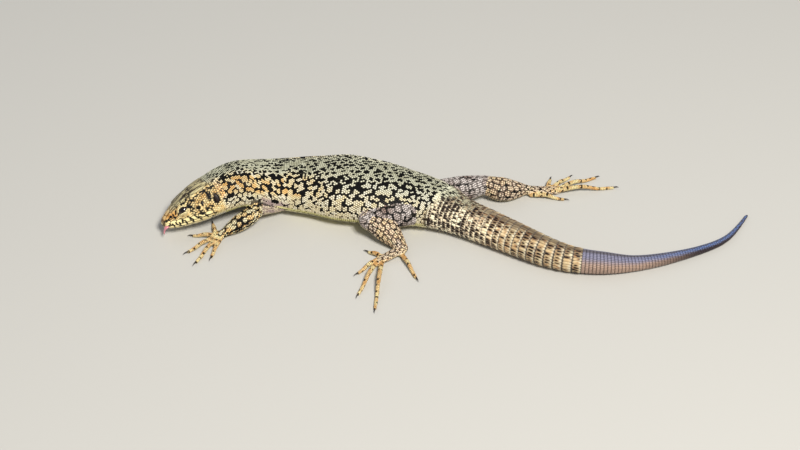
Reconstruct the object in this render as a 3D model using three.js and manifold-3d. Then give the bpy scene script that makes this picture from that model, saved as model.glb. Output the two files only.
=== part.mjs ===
// A wall lizard at life size, basking: belly and tail on the floor, head lifted and turned to its left,
// one hind leg stretched out behind it.  The last part of its tail has regrown after an old break.
//
// Millimetres, +Z up, floor at z = 0.  The animal lies along X with its head towards -X and its left
// side towards -Y.  Places along the animal are lengths along its back, measured from the snout tip.

import * as THREE from "three";
import { ParametricGeometry } from "three/addons/geometries/ParametricGeometry.js";
import { mergeVertices } from "three/addons/utils/BufferGeometryUtils.js";
import Module from "manifold-3d";

const wasm = await Module();
wasm.setup();

// ---------------------------------------------------------------- driving sizes

const EYE_AT = 5.2;
const EAR_AT = 12.4;
const HEAD_END = 14.6;
const NECK_END = 20.7;
const SHOULDER_AT = 23.7;
const HIP_AT = 62.7;
const VENT_AT = 67.2;
const BREAK_AT = 100.2; // the tail behind this has regrown
const TAIL_TIP_AT = 145.7;

const UPPER_ARM = 6.9;
const FOREARM = 7.5;
const PALM = 2.4;
const THIGH = 12.8;
const SHANK = 9.9;
const SOLE = 6.6;
const FINGERS = [3.9, 5.2, 7.4, 8.6, 5.8]; // first to fifth, without the claw
const TOES = [3.4, 6.4, 10.8, 14.4, 7.6];
const CLAW = 1.3;

const PARTING = 0.2; // thin cut between neighbouring pieces
const SINK = 0.12; // how far a resting shape is let into the floor, which leaves a small flat
const HEAD_YAW = 30; // degrees, the head turned to the animal's left
const HEAD_ROLL = 27; // degrees, the head's left side up

const RAD = Math.PI / 180;
const UP = new THREE.Vector3(0, 0, 1);

function direction(yaw, pitch = 0) {
  return new THREE.Vector3(
    Math.cos(yaw * RAD) * Math.cos(pitch * RAD),
    Math.sin(yaw * RAD) * Math.cos(pitch * RAD),
    Math.sin(pitch * RAD),
  );
}

// ---------------------------------------------------------------- profiles along the back

// A smooth function through [place, value] keys that never overshoots them.
function profile(keys) {
  const slope = keys.slice(1).map((k, i) => (k[1] - keys[i][1]) / (k[0] - keys[i][0]));
  const tangent = keys.map((_, i) => {
    if (i === 0 || i === keys.length - 1) return slope[Math.min(i, slope.length - 1)];
    const [a, b] = [slope[i - 1], slope[i]];
    return a * b > 0 ? (2 * a * b) / (a + b) : 0;
  });
  return (place) => {
    const at = THREE.MathUtils.clamp(place, keys[0][0], keys[keys.length - 1][0]);
    const i = Math.min(keys.findLastIndex((k) => k[0] <= at), keys.length - 2);
    const span = keys[i + 1][0] - keys[i][0];
    const t = (at - keys[i][0]) / span;
    const rise = t * t * (3 - 2 * t);
    const lean = span * t * (1 - t);
    return (
      keys[i][1] * (1 - rise) + keys[i + 1][1] * rise +
      lean * (tangent[i] * (1 - t) - tangent[i + 1] * t)
    );
  };
}

// Half the width of the body, at its widest level.
const halfWidth = profile([
  [0, 0], [0.15, 0.9], [0.5, 1.4], [1.2, 1.95], [2.4, 2.6], [EYE_AT, 3.7], [8.7, 4.95], [12, 5.65],
  [15.7, 6.0], [20.2, 6.0], [24, 6.5], [30, 7.1], [37, 8.25], [44, 9.5], [51, 8.8], [59, 7.1], [64, 6.0],
  [VENT_AT, 5.4], [72, 4.4], [79, 4.0], [90, 3.4], [BREAK_AT, 2.75], [105, 2.5], [112, 1.8],
  [118, 1.47], [126, 1.07], [134, 0.82], [141, 0.54], [144.7, 0.4], [TAIL_TIP_AT, 0.1],
]);
// The body's rise above and drop below that level, as shares of the half width.
const riseShare = profile([
  [0, 0.8], [EYE_AT, 0.88], [13.2, 0.78], [18, 0.84], [30, 0.68], [44, 0.56], [57, 0.68], [71, 0.9], [89, 1],
]);
const dropShare = profile([
  [0, 0.75], [EYE_AT, 0.76], [13.2, 0.76], [21, 0.72], [30, 0.64], [44, 0.54], [57, 0.62], [71, 0.85],
  [89, 0.97],
]);
// How square the section is above and below its widest level: 2 is an ellipse.
const squareAbove = profile([[0, 2.1], [EYE_AT, 2.7], [11.2, 2.6], [23, 2.15], [72, 2]]);
const squareBelow = profile([[0, 2.1], [EYE_AT, 2.3], [13.2, 2.3], [31, 2.6], [61, 2.5], [77, 2.1], [99, 2]]);
// Height at which the head and neck are carried, before the body comes to rest on the floor.
const carried = profile([[0, 3.2], [2.5, 3.6], [14.2, 6.5], [19.2, 6.9], [25, 5.8], [33, 4.9]]);
// Direction of the back seen from above, in degrees from +X.
const heading = profile([
  [0, HEAD_YAW], [14.2, HEAD_YAW], [19.2, 25], [26, 15], [33, -2.5], [45, -12], [56, -12.5], [69, -31],
  [87, -31.5], [102, -5.5], [117, 17], [130, 28], [139, 55], [TAIL_TIP_AT, 60],
]);
const roll = profile([[0, HEAD_ROLL], [13.2, HEAD_ROLL], [23, 12], [33, 4], [61, 2], [75, 0]]);

// Soft swellings and hollows of both sides: place, angle up from the widest level, spread along the
// back in mm, spread round the body in degrees, and how far the skin stands out.
const BULGES = [
  { at: EYE_AT + 0.2, angle: 50, along: 2.0, round: 16, out: 0.32 }, // brow
  { at: EYE_AT, angle: 16, along: 1.3, round: 16, out: 0.22 }, // lids
  { at: 2.7, angle: 20, along: 1.2, round: 18, out: -0.18 }, // hollow between nostril and eye
  { at: 9.8, angle: -12, along: 2.4, round: 26, out: 0.3 }, // jaw muscle
  { at: 18.2, angle: -35, along: 3.0, round: 25, out: 0.3 }, // side of the throat
  { at: SHOULDER_AT, angle: -12, along: 2.6, round: 25, out: 0.35 }, // shoulder
  { at: HIP_AT, angle: 0, along: 4.0, round: 30, out: 0.45 }, // hip
];

// ---------------------------------------------------------------- the back's line

function axisHeight(at) {
  const resting = halfWidth(at) * dropShare(at) - SINK;
  return THREE.MathUtils.lerp(carried(at), resting, THREE.MathUtils.smoothstep(at, 21, 33));
}

// The line is stepped along its heading from the mid-trunk point, which stands where the frame wants it.
const STEP = 0.25;
const TRUNK_AT = 44.25;
const TRUNK_POINT = new THREE.Vector2(-11.8, 7.25);
const line = [new THREE.Vector2()];
while ((line.length - 1) * STEP < TAIL_TIP_AT) {
  const at = (line.length - 0.5) * STEP;
  const climb = axisHeight(at + STEP / 2) - axisHeight(at - STEP / 2);
  const reach = Math.sqrt(Math.max(STEP ** 2 - climb ** 2, 0.2 * STEP ** 2));
  const turn = heading(at) * RAD;
  line.push(line.at(-1).clone().add(new THREE.Vector2(Math.cos(turn), Math.sin(turn)).multiplyScalar(reach)));
}
const shift = TRUNK_POINT.clone().sub(line[TRUNK_AT / STEP]);
line.forEach((p) => p.add(shift));

// Centre, backward, left and up directions of the body at a place along the back.
function frameAt(at) {
  const i = Math.min(Math.floor(at / STEP), line.length - 2);
  const flat = line[i].clone().lerp(line[i + 1], at / STEP - i);
  const centre = new THREE.Vector3(flat.x, flat.y, axisHeight(at));
  const ahead = Math.max(at - 1, 0.6);
  const lean = (axisHeight(at + 1) - axisHeight(ahead)) / (at + 1 - ahead);
  const pitch = (Math.atan(lean) / RAD) * THREE.MathUtils.smoothstep(23 - at, 0, 6); // the trunk is level
  const back = direction(heading(at), pitch);
  const level = back.clone().cross(UP).normalize();
  const crown = level.clone().cross(back);
  const tilt = roll(at) * RAD;
  const left = level.clone().multiplyScalar(Math.cos(tilt)).addScaledVector(crown, Math.sin(tilt));
  const up = crown.multiplyScalar(Math.cos(tilt)).addScaledVector(level, -Math.sin(tilt));
  return { centre, back, left, up };
}

// A point of the skin: at a place along the back and an angle up from the left side, grown outward.
function skinPoint(at, angle, grow, target) {
  const { centre, left, up } = frameAt(at);
  const [c, s] = [Math.cos(angle), Math.sin(angle)];
  const square = s > 0 ? squareAbove(at) : squareBelow(at);
  const tall = halfWidth(at) * (s > 0 ? riseShare(at) : dropShare(at));
  let out = grow;
  for (const b of BULGES) {
    const off = Math.atan2(s, Math.abs(c)) / RAD - b.angle;
    out += b.out * Math.exp(-(((at - b.at) / b.along) ** 2) - (off / b.round) ** 2);
  }
  const across = Math.sign(c) * Math.abs(c) ** (2 / square) * (halfWidth(at) + out);
  const above = Math.sign(s) * Math.abs(s) ** (2 / square) * (tall + out);
  return target.copy(centre).addScaledVector(left, across).addScaledVector(up, above);
}

// ---------------------------------------------------------------- solids

// A closed surface between two poles: rows of sides points each, where row 0 and the last are one point.
function closedSurface(rows, sides, pointAt) {
  const made = new ParametricGeometry(
    (u, v, target) => pointAt(Math.round(v * rows), u * 2 * Math.PI, target),
    sides,
    rows,
  );
  return solidOf(made);
}

// A geometry as a manifold solid, once its shared vertices are merged and its pole faces have collapsed.
function solidOf(geometry) {
  const bare = geometry.clone().deleteAttribute("normal").deleteAttribute("uv");
  const merged = mergeVertices(bare, 1e-4);
  const faces = [];
  for (let i = 0; i < merged.index.count; i += 3) {
    const [a, b, c] = [0, 1, 2].map((k) => merged.index.getX(i + k));
    if (a !== b && b !== c && c !== a) faces.push(a, b, c);
  }
  const mesh = (order) =>
    new wasm.Mesh({
      numProp: 3,
      vertProperties: merged.attributes.position.array,
      triVerts: new Uint32Array(order),
    });
  const made = new wasm.Manifold(mesh(faces));
  return made.volume() > 0 ? made : new wasm.Manifold(mesh(faces.toReversed()));
}

function placed(geometry, matrix) {
  return solidOf(geometry.clone().applyMatrix4(matrix));
}

// A length of the body from one place to another, with flat ends.
function bodyLength(from, to, rows, sides, grow = 0) {
  const place = (row) => from + ((to - from) * THREE.MathUtils.clamp(row - 1, 0, rows - 2)) / (rows - 2);
  return closedSurface(rows, sides, (row, angle, target) =>
    row === 0 || row === rows
      ? target.copy(frameAt(place(row)).centre)
      : skinPoint(place(row), angle, grow, target),
  );
}

// The head from its snout tip, with rows closer together where the snout rounds off.
const HEAD_ROWS = [0.12, 0.45, 1, 1.8, 2.9, 4, 5.2, 6.4, 7.7, 9, 10.3, 11.6, 13, HEAD_END];
function headLength(sides, grow = 0) {
  const rows = HEAD_ROWS.length + 1;
  return closedSurface(rows, sides, (row, angle, target) => {
    if (row === 0) return target.copy(frameAt(0).centre).addScaledVector(frameAt(0).back, -grow);
    if (row === rows) return target.copy(frameAt(HEAD_END).centre);
    return skinPoint(HEAD_ROWS[row - 1], angle, grow, target);
  });
}

// A tube with ball ends, along a curve through points, with its radius given at each of them.
function limb(points, radii, { sides = 10, rows = 8, flat = 1, grow = 0 } = {}) {
  const beyond = (end, inner, radius) =>
    end.clone().sub(inner).setLength(radius + grow).add(end);
  const path = [
    beyond(points[0], points[1], radii[0]),
    ...points,
    beyond(points.at(-1), points.at(-2), radii.at(-1)),
  ];
  const curve = new THREE.CatmullRomCurve3(path, false, "centripetal");
  const reach = path.slice(1).map((point, i) => point.distanceTo(path[i]));
  const chord = reach.reduce((sum, step) => sum + step, 0);
  let walked = 0;
  const radiusAt = profile(radii.map((radius, i) => [(walked += reach[i]) / chord, radius]));
  const length = curve.getLength();
  return closedSurface(rows, sides, (row, angle, target) => {
    const along = (1 - Math.cos((Math.PI * row) / rows)) / 2;
    const radius = radiusAt(along) + grow;
    const toEnd = Math.min(along, 1 - along) * length;
    const round = Math.sqrt(Math.max(0, 1 - Math.max(0, 1 - toEnd / radius) ** 2));
    const back = curve.getTangentAt(along);
    const side = back.clone().cross(UP).normalize();
    const up = side.clone().cross(back);
    curve.getPointAt(along, target);
    return target
      .addScaledVector(side, Math.cos(angle) * radius * round)
      .addScaledVector(up, Math.sin(angle) * radius * round * flat);
  });
}

const floor = solidOf(new THREE.BoxGeometry(400, 400, 20).translate(0, 0, -10));
const nodes = new Map();
const keep = (name, solid, material) => nodes.set(name, { solid: solid.subtract(floor), material });

// ---------------------------------------------------------------- materials

const finish = (color, roughness) => new THREE.MeshStandardMaterial({ color, roughness, metalness: 0 });
const greenScales = finish(0x8f9468, 0.6);
const flankScales = finish(0xc9ad7c, 0.6);
const tailScales = finish(0xb39a74, 0.6);
const regrownScales = finish(0x6f6c82, 0.5);
const limbScales = finish(0xb59a80, 0.6);
const eyeball = finish(0x1a120c, 0.08);
const eardrumSkin = finish(0x3a281c, 0.5);
const tongueFlesh = finish(0xc97f86, 0.35);
const clawHorn = finish(0x2a2320, 0.35);

// ---------------------------------------------------------------- eyes, ears and tongue

const EYE_RADIUS = 1.5;
const EYE_DEPTH = 1.12; // eye centre under the skin
const EYE_ANGLE = 25;
const EAR_ANGLE = 5;
const EAR_SIZE = new THREE.Vector3(0.6, 0.3, 1.2); // half length, half thickness, half height
const EAR_DEPTH = 0.55;

// Position and axes of something set in the side of the head: outward, backward and up.
function sidePlace(at, angle, depth, side) {
  const { centre, back } = frameAt(at);
  const turned = side > 0 ? angle * RAD : Math.PI - angle * RAD;
  const skin = skinPoint(at, turned, 0, new THREE.Vector3());
  const outward = skin.clone().sub(centre).projectOnPlane(back).normalize();
  outward.addScaledVector(back, -0.25).normalize(); // the side of the head narrows forward
  const along = back.clone().projectOnPlane(outward).normalize();
  const upward = along.clone().cross(outward).multiplyScalar(side);
  return new THREE.Matrix4()
    .makeBasis(along, outward, upward)
    .setPosition(skin.addScaledVector(outward, -depth));
}

const eyeShape = (grow) => new THREE.SphereGeometry(EYE_RADIUS + grow, 12, 8);
const earShape = (grow) =>
  new THREE.SphereGeometry(1, 10, 6).scale(EAR_SIZE.x + grow, EAR_SIZE.y + grow, EAR_SIZE.z + grow);
// The opening of the ear, which leads from the eardrum out through the skin.
const earOpening = () =>
  new THREE.SphereGeometry(1, 10, 6).scale(EAR_SIZE.x + PARTING, 1.3, EAR_SIZE.z + PARTING);

// The mouth line, as heights above the head's axis at the snout and at the corner of the mouth.
const MOUTH_FRONT = -0.42;
const MOUTH_CORNER_AT = 11;
const MOUTH_CORNER = -2.05;
const TONGUE_ROOT_AT = 2.4;
const TONGUE_HALF_WIDTH = 0.62;
const TONGUE_FLATNESS = 0.5;
const TONGUE_ASIDE = 1.25; // the tongue leaves the mouth on the left of the snout tip

// The tongue's blade, bent down over the lower lip, and its two tines.
function tongue(grow) {
  const tip = frameAt(0.5);
  const root = frameAt(TONGUE_ROOT_AT);
  const inside = root.centre.clone().addScaledVector(root.up, MOUTH_FRONT - 0.15);
  const out = (ahead, drop, aside) =>
    tip.centre.clone()
      .addScaledVector(tip.up, MOUTH_FRONT - 0.12)
      .addScaledVector(tip.left, TONGUE_ASIDE + aside)
      .addScaledVector(tip.back, -ahead)
      .addScaledVector(UP, -drop);
  const blade = limb(
    [inside, out(0, 0.05, 0), out(0.45, 0.4, 0), out(0.6, 0.75, 0)],
    [TONGUE_HALF_WIDTH, TONGUE_HALF_WIDTH, 0.52, 0.42],
    { sides: 8, rows: 7, flat: TONGUE_FLATNESS, grow },
  );
  const tine = (side) =>
    limb(
      [out(0.6, 0.8, side * 0.15), out(0.75, 1.25, side * 0.28), out(0.8, 1.7, side * 0.45)],
      [0.3, 0.26, 0.16],
      { sides: 6, rows: 5, flat: 0.8, grow },
    );
  return blade.add(tine(1)).add(tine(-1));
}

// A wedge as wide as the head that holds the lower jaw, lowered by gap under the mouth line.
function jawWedge(gap) {
  const snout = frameAt(0).centre;
  const corner = frameAt(MOUTH_CORNER_AT);
  const length = corner.centre.distanceTo(snout);
  const back = corner.centre.clone().sub(snout).normalize();
  const crown = corner.up.clone().addScaledVector(back, -corner.up.dot(back)).normalize();
  const outline = new THREE.Shape([
    new THREE.Vector2(-2, MOUTH_FRONT - gap + 0.1),
    new THREE.Vector2(length * 0.6, (MOUTH_FRONT + MOUTH_CORNER) * 0.62 - gap),
    new THREE.Vector2(length - gap, MOUTH_CORNER - gap),
    new THREE.Vector2(length - 1.6 - gap, -7),
    new THREE.Vector2(-2, -7),
  ]);
  const slab = new THREE.ExtrudeGeometry(outline, { depth: 16, bevelEnabled: false }).translate(0, 0, -8);
  return placed(slab, new THREE.Matrix4().makeBasis(back, crown, back.clone().cross(crown)).setPosition(snout));
}

// ---------------------------------------------------------------- head, trunk and tail

const wholeHead = headLength(20);
const tongueSolid = tongue(0);
const tongueRoom = tongue(PARTING / 2);
let head = wholeHead.subtract(jawWedge(0)).subtract(tongueRoom);
const jaw = wholeHead.intersect(jawWedge(PARTING)).subtract(tongueRoom);

for (const [name, side] of [["left", 1], ["right", -1]]) {
  const eyePlace = sidePlace(EYE_AT, EYE_ANGLE, EYE_DEPTH, side);
  const earPlace = sidePlace(EAR_AT, EAR_ANGLE, EAR_DEPTH, side);
  head = head.subtract(placed(eyeShape(PARTING / 2), eyePlace));
  head = head.subtract(placed(earOpening(), earPlace));
  keep(`eye_${name}`, placed(eyeShape(0), eyePlace), eyeball);
  keep(`eardrum_${name}`, placed(earShape(0), earPlace), eardrumSkin);
}
keep("head", head, greenScales);
keep("lower_jaw", jaw, flankScales);
keep("tongue", tongueSolid, tongueFlesh);

// Name, where the length ends, rows, sides and finish, from the neck to the tail tip.
const LENGTHS = [
  ["neck", NECK_END, 5, 20, greenScales],
  ["trunk_front", 36, 8, 20, greenScales],
  ["trunk_middle", 51, 7, 20, greenScales],
  ["trunk_rear", VENT_AT, 8, 20, greenScales],
  ["tail_base", 83, 7, 18, tailScales],
  ["tail_middle", BREAK_AT, 7, 16, tailScales],
  ["tail_regrown", 122, 9, 12, regrownScales],
  ["tail_tip", TAIL_TIP_AT - 0.3, 10, 10, regrownScales],
];
let from = HEAD_END;
for (const [name, to, rows, sides, material] of LENGTHS) {
  keep(name, bodyLength(from + PARTING, to, rows, sides), material);
  from = to;
}

// ---------------------------------------------------------------- limbs

// What the limbs are cut by, a parting's width larger than the body itself.
const foreBody = headLength(20, PARTING).add(bodyLength(HEAD_END - 0.1, 36, 12, 20, PARTING));
const rearBody = bodyLength(35, 83, 22, 20, PARTING);

// Each limb's pose: directions as yaw from +X and pitch up, in degrees, and the yaw of each digit.
// foldAt is the place on the flank to which a fold of skin runs from the elbow.
const LIMBS = [
  {
    name: "fore", side: "left", at: SHOULDER_AT, inset: 1, rootHeight: 4.3, foldAt: 29.5,
    upper: [-96, -6], lower: [-151.5, -19], foot: -149, digits: [104, 176, -143, -120, -107],
  },
  {
    name: "fore", side: "right", at: SHOULDER_AT, inset: 2.4, rootHeight: 4.3,
    upper: [58, -3], lower: [30, -24], foot: 172, digits: [-110, -155, -178, 178, 164],
  },
  {
    name: "hind", side: "left", at: HIP_AT, inset: 2.4, rootHeight: 4.4,
    upper: [-160.5, 1], lower: [-36, -19], foot: -148, digits: [150, -137, -112, -95.5, -66],
  },
  {
    name: "hind", side: "right", at: HIP_AT, inset: 2.4, rootHeight: 4.2,
    upper: [21, -3], lower: [4.5, -12.5], foot: 4.5, digits: [75, 45, 27, 8, -9],
  },
];
const NAMES = { fore: ["upper_arm", "forearm", "hand"], hind: ["thigh", "shank", "foot"] };
const ORDINALS = ["first", "second", "third", "fourth", "fifth"];

// Sizes of a fore or hind limb: bone lengths, radii at root, middle and end, how far the muscle of the
// lower limb stands out on the inside of its bend, and the digits' layout.
const BUILDS = {
  fore: {
    bones: [UPPER_ARM, FOREARM, PALM], upperRadii: [2.3, 2.1, 1.75], lowerRadii: [1.8, 1.95, 1.15],
    muscle: 0, footRadii: [1.1, 1.35, 1.15], digitLengths: FINGERS, spread: 1.05, fifthBack: 0.3,
  },
  hind: {
    bones: [THIGH, SHANK, SOLE], upperRadii: [3.3, 3.1, 2.2], lowerRadii: [2.1, 2.75, 1.2],
    muscle: 0.95, footRadii: [1.25, 1.2, 1.3], digitLengths: TOES, spread: 1.15, fifthBack: 0.85,
  },
};
const FOLD_RADII = [1.5, 1.2, 0.9];
const FOLD_ANGLE = -38; // down from the flank's widest level
const DIGIT_RADII = [0.62, 0.55, 0.44];
const DIGIT_ARCH = 0.07; // rise of a digit's middle, as a share of its length
const CLAW_RADII = [0.3, 0.2, 0.07];

// One finger or toe from its knuckle, arched a little and resting on its tip, and its curved claw.
function digit(knuckle, yaw, length) {
  const ahead = direction(yaw);
  const rest = DIGIT_RADII[2] - SINK;
  const pointAt = (share, height) =>
    knuckle.clone().setZ(height).addScaledVector(ahead, share * length);
  const path = [
    pointAt(0, knuckle.z),
    pointAt(0.45, rest + 0.25 + DIGIT_ARCH * length),
    pointAt(0.75, rest + 0.1),
    pointAt(1, rest).addScaledVector(ahead, -DIGIT_RADII[2]),
  ];
  const clawPath = [
    pointAt(1, rest + 0.1).addScaledVector(ahead, -0.35),
    pointAt(1, rest + 0.2).addScaledVector(ahead, CLAW * 0.45),
    pointAt(1, 0.06).addScaledVector(ahead, CLAW),
  ];
  return {
    toe: (grow) => limb(path, [...DIGIT_RADII.slice(0, 2), 0.48, DIGIT_RADII[2]], { sides: 6, rows: 6, grow }),
    claw: limb(clawPath, CLAW_RADII, { sides: 5, rows: 4 }),
  };
}

// The fold of skin from the back of the left elbow to the flank.
function fold(elbow, at, grow) {
  const flank = skinPoint(at, FOLD_ANGLE * RAD, -0.6, new THREE.Vector3());
  return limb([elbow, elbow.clone().lerp(flank, 0.5), flank], FOLD_RADII, { sides: 8, rows: 6, grow });
}

for (const pose of LIMBS) {
  const build = BUILDS[pose.name];
  const body = pose.name === "fore" ? foreBody : rearBody;
  const sign = pose.side === "left" ? 1 : -1;
  const frame = frameAt(pose.at);
  const root = frame.centre.clone().addScaledVector(frame.left, sign * pose.inset).setZ(pose.rootHeight);
  const bend = root.clone().addScaledVector(direction(...pose.upper), build.bones[0]);
  const ankle = bend.clone().addScaledVector(direction(...pose.lower), build.bones[1]);
  const ahead = direction(pose.foot);
  const sole = ankle.clone().setZ(build.footRadii[2] * 0.55 - SINK).addScaledVector(ahead, build.bones[2]);
  const knuckleSide = direction(pose.foot - 90 * sign); // towards the first digit

  const calf = bend.clone().lerp(ankle, 0.4);
  calf.addScaledVector(direction(pose.lower[0] + 90 * sign), build.muscle);

  const upper = (grow) => {
    const arm = limb([root, root.clone().lerp(bend, 0.5), bend], build.upperRadii, { grow });
    return pose.foldAt ? arm.add(fold(root.clone().lerp(bend, 0.85), pose.foldAt, grow)) : arm;
  };
  const lower = (grow) => limb([bend, calf, ankle], build.lowerRadii, { grow });
  const palm = (grow) =>
    limb([ankle, ankle.clone().lerp(sole, 0.5), sole], build.footRadii, { rows: 7, flat: 0.6, grow });

  const feet = build.digitLengths.map((length, i) => {
    const aside = build.spread * (1 - i / 2);
    const behind = i === 4 ? build.fifthBack * build.bones[2] : 0.12 * Math.abs(i - 2) * build.bones[2];
    const knuckle = sole.clone()
      .addScaledVector(knuckleSide, aside)
      .addScaledVector(ahead, -behind)
      .setZ(DIGIT_RADII[0] + 0.1);
    return digit(knuckle, pose.digits[i], length);
  });

  const [upperName, lowerName, footName] = NAMES[pose.name].map((n) => `${n}_${pose.side}`);
  let foot = palm(0);
  for (const { toe } of feet) foot = foot.add(toe(0));
  keep(upperName, upper(0).subtract(body), limbScales);
  keep(lowerName, lower(0).subtract(body).subtract(upper(PARTING)), limbScales);
  keep(footName, foot.subtract(body).subtract(upper(PARTING)).subtract(lower(PARTING)), limbScales);
  feet.forEach(({ toe, claw }, i) => {
    const clear = claw.subtract(toe(PARTING / 2));
    keep(`claw_${pose.name}_${pose.side}_${ORDINALS[i]}`, clear, clawHorn);
  });
}

// ---------------------------------------------------------------- the model

// The largest body of each solid: a cut can leave slivers of a limb inside the trunk.
function largest(solid) {
  return solid.decompose().sort((a, b) => b.volume() - a.volume())[0];
}

function meshOf(name, { solid, material }) {
  const { numProp, vertProperties, triVerts } = largest(solid).getMesh();
  const position = new Float32Array((vertProperties.length / numProp) * 3);
  for (let i = 0; i < position.length / 3; i++) {
    position.set(vertProperties.subarray(i * numProp, i * numProp + 3), i * 3);
  }
  const geometry = new THREE.BufferGeometry()
    .setAttribute("position", new THREE.BufferAttribute(position, 3))
    .setIndex(new THREE.BufferAttribute(triVerts, 1));
  geometry.computeVertexNormals();
  const mesh = new THREE.Mesh(geometry, material);
  mesh.name = name;
  return mesh;
}

const lizard = new THREE.Group();
for (const [name, node] of nodes) lizard.add(meshOf(name, node));

// The origin is the middle of the ground under the animal.
const box = new THREE.Box3().setFromObject(lizard);
lizard.position.set(-(box.min.x + box.max.x) / 2, -(box.min.y + box.max.y) / 2, 0);

export default lizard;
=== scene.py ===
"""A wall lizard at life size, basking with its head lifted and turned to its left.

One skin covers head, body, tail and limbs, and lies inside the solids by the depth of the scales.
The scales are thin closed plates laid over it, and carry the same markings as the skin under them.
Shapes are worked out in millimetres, along the body's own line, and put into the meshes in metres.
"""

import math

import bpy
import numpy as np
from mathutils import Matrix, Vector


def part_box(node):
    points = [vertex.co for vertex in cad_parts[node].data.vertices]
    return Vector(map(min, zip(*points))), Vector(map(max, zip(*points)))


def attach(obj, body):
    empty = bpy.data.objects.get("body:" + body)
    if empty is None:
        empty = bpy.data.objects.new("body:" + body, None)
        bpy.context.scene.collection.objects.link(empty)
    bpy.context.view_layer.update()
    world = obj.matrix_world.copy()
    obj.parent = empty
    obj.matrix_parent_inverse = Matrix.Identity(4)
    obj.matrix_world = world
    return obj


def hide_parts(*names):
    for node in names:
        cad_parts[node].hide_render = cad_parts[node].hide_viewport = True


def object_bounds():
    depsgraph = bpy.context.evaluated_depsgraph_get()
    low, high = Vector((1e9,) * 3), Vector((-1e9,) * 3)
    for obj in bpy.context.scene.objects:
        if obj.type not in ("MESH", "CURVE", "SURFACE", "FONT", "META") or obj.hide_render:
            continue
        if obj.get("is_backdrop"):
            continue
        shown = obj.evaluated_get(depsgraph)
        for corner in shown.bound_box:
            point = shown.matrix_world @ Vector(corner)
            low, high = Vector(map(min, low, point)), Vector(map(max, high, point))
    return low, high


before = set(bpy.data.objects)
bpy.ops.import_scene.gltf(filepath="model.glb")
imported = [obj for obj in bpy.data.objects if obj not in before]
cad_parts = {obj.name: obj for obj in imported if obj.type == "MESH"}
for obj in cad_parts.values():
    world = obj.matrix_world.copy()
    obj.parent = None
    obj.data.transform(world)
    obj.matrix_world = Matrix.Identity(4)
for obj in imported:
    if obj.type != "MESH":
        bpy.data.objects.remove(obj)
cad_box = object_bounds()

MM = 0.001
RAD = math.pi / 180
UP = np.array([0.0, 0.0, 1.0])

# ---------------------------------------------------------------- driving sizes, mm

# Places along the back, measured from the snout tip.
EYE_AT = 5.2
EAR_AT = 12.4
HEAD_END = 14.6
COLLAR_AT = 20.7
SHOULDER_AT = 23.7
HIP_AT = 62.7
WHORLS_FROM = 64.8  # the scales behind this stand in whorls
VENT_AT = 67.2
BREAK_AT = 100.2  # the tail behind this has regrown
TAIL_TIP_AT = 145.7

UPPER_ARM, FOREARM, PALM = 6.9, 7.5, 2.4
THIGH, SHANK, SOLE = 12.8, 9.9, 6.6
FINGERS = [3.9, 5.2, 7.4, 8.6, 5.8]
TOES = [3.4, 6.4, 10.8, 14.4, 7.6]
CLAW = 1.3

COAT = 0.1  # depth of the scales over the skin
SINK = 0.12  # how far a resting shape is let into the floor
HEAD_YAW, HEAD_ROLL = 30, 27
CARRIED_UNTIL, RESTS_FROM = 21, 33  # between these places the body comes down to the floor
TRUNK_AT, TRUNK_POINT = 44.25, (-11.8, 7.25)  # the middle of the trunk, and where it lies

EYE_RADIUS, EYE_DEPTH, EYE_ANGLE = 1.5, 1.12, 25
LID_OPENING = (0.74, 0.48)  # half length and half height
LID_DEPTH = 0.12  # how far the skin of the lids stands out over the eyeball
EAR_ANGLE, EAR_DEPTH = 5, 0.55
EAR_OPENING = (0.5, 1.05)
NOSTRIL_AT, NOSTRIL_ANGLE, NOSTRIL_RADIUS = 0.95, 24, 0.2
FACING_AHEAD = 0.25  # how far eyes and ears are turned forward, as a slope


# ---------------------------------------------------------------- curves along the body


def profile(keys):
    """A smooth function through [place, value] keys that never overshoots them: a cubic between
    neighbours, whose slope at a key is the harmonic mean of the slopes beside it, or level where
    those have opposite signs."""
    x, y = np.array(keys, float).T
    slope = np.diff(y) / np.diff(x)
    before, after = slope[:-1], slope[1:]
    turns = before * after <= 0
    inner = np.where(turns, 0, 2 * before * after / np.where(turns, 1, before + after))
    tangent = np.concatenate([slope[:1], inner, slope[-1:]])

    def value(place):
        """The cubic at a place, which is held between the first and the last key."""
        at = np.clip(place, x[0], x[-1])
        i = np.clip(np.searchsorted(x, at, side="right") - 1, 0, len(x) - 2)
        span = x[i + 1] - x[i]
        t = (at - x[i]) / span
        rise = t * t * (3 - 2 * t)
        lean = span * t * (1 - t)
        return y[i] * (1 - rise) + y[i + 1] * rise + lean * (tangent[i] * (1 - t) - tangent[i + 1] * t)

    return value


def smoothstep(x, low, high):
    """0 below low, 1 above high, and the cubic 3t^2 - 2t^3 between them."""
    t = np.clip((x - low) / (high - low), 0, 1)
    return t * t * (3 - 2 * t)


def bell(x, middle, spread):
    """1 at the middle, falling on both sides as exp(-((x - middle) / spread)^2)."""
    return np.exp(-(((x - middle) / spread) ** 2))


def mix(a, b, share):
    """a where the share is 0, b where it is 1, and in proportion between them."""
    return a + (b - a) * share


def unit(v):
    """Vectors shortened or lengthened to a length of 1."""
    return v / np.maximum(np.linalg.norm(v, axis=-1, keepdims=True), 1e-9)


half_width = profile([
    [0, 0], [0.15, 0.9], [0.5, 1.4], [1.2, 1.95], [2.4, 2.6], [EYE_AT, 3.7], [8.7, 4.95], [12, 5.65],
    [15.7, 6.0], [20.2, 6.0], [24, 6.5], [30, 7.1], [37, 8.25], [44, 9.5], [51, 8.8], [59, 7.1], [64, 6.0],
    [VENT_AT, 5.4], [72, 4.4], [79, 4.0], [90, 3.4], [BREAK_AT, 2.75], [105, 2.5], [112, 1.8],
    [118, 1.47], [126, 1.07], [134, 0.82], [141, 0.54], [144.7, 0.4], [TAIL_TIP_AT, 0.1],
])
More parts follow.
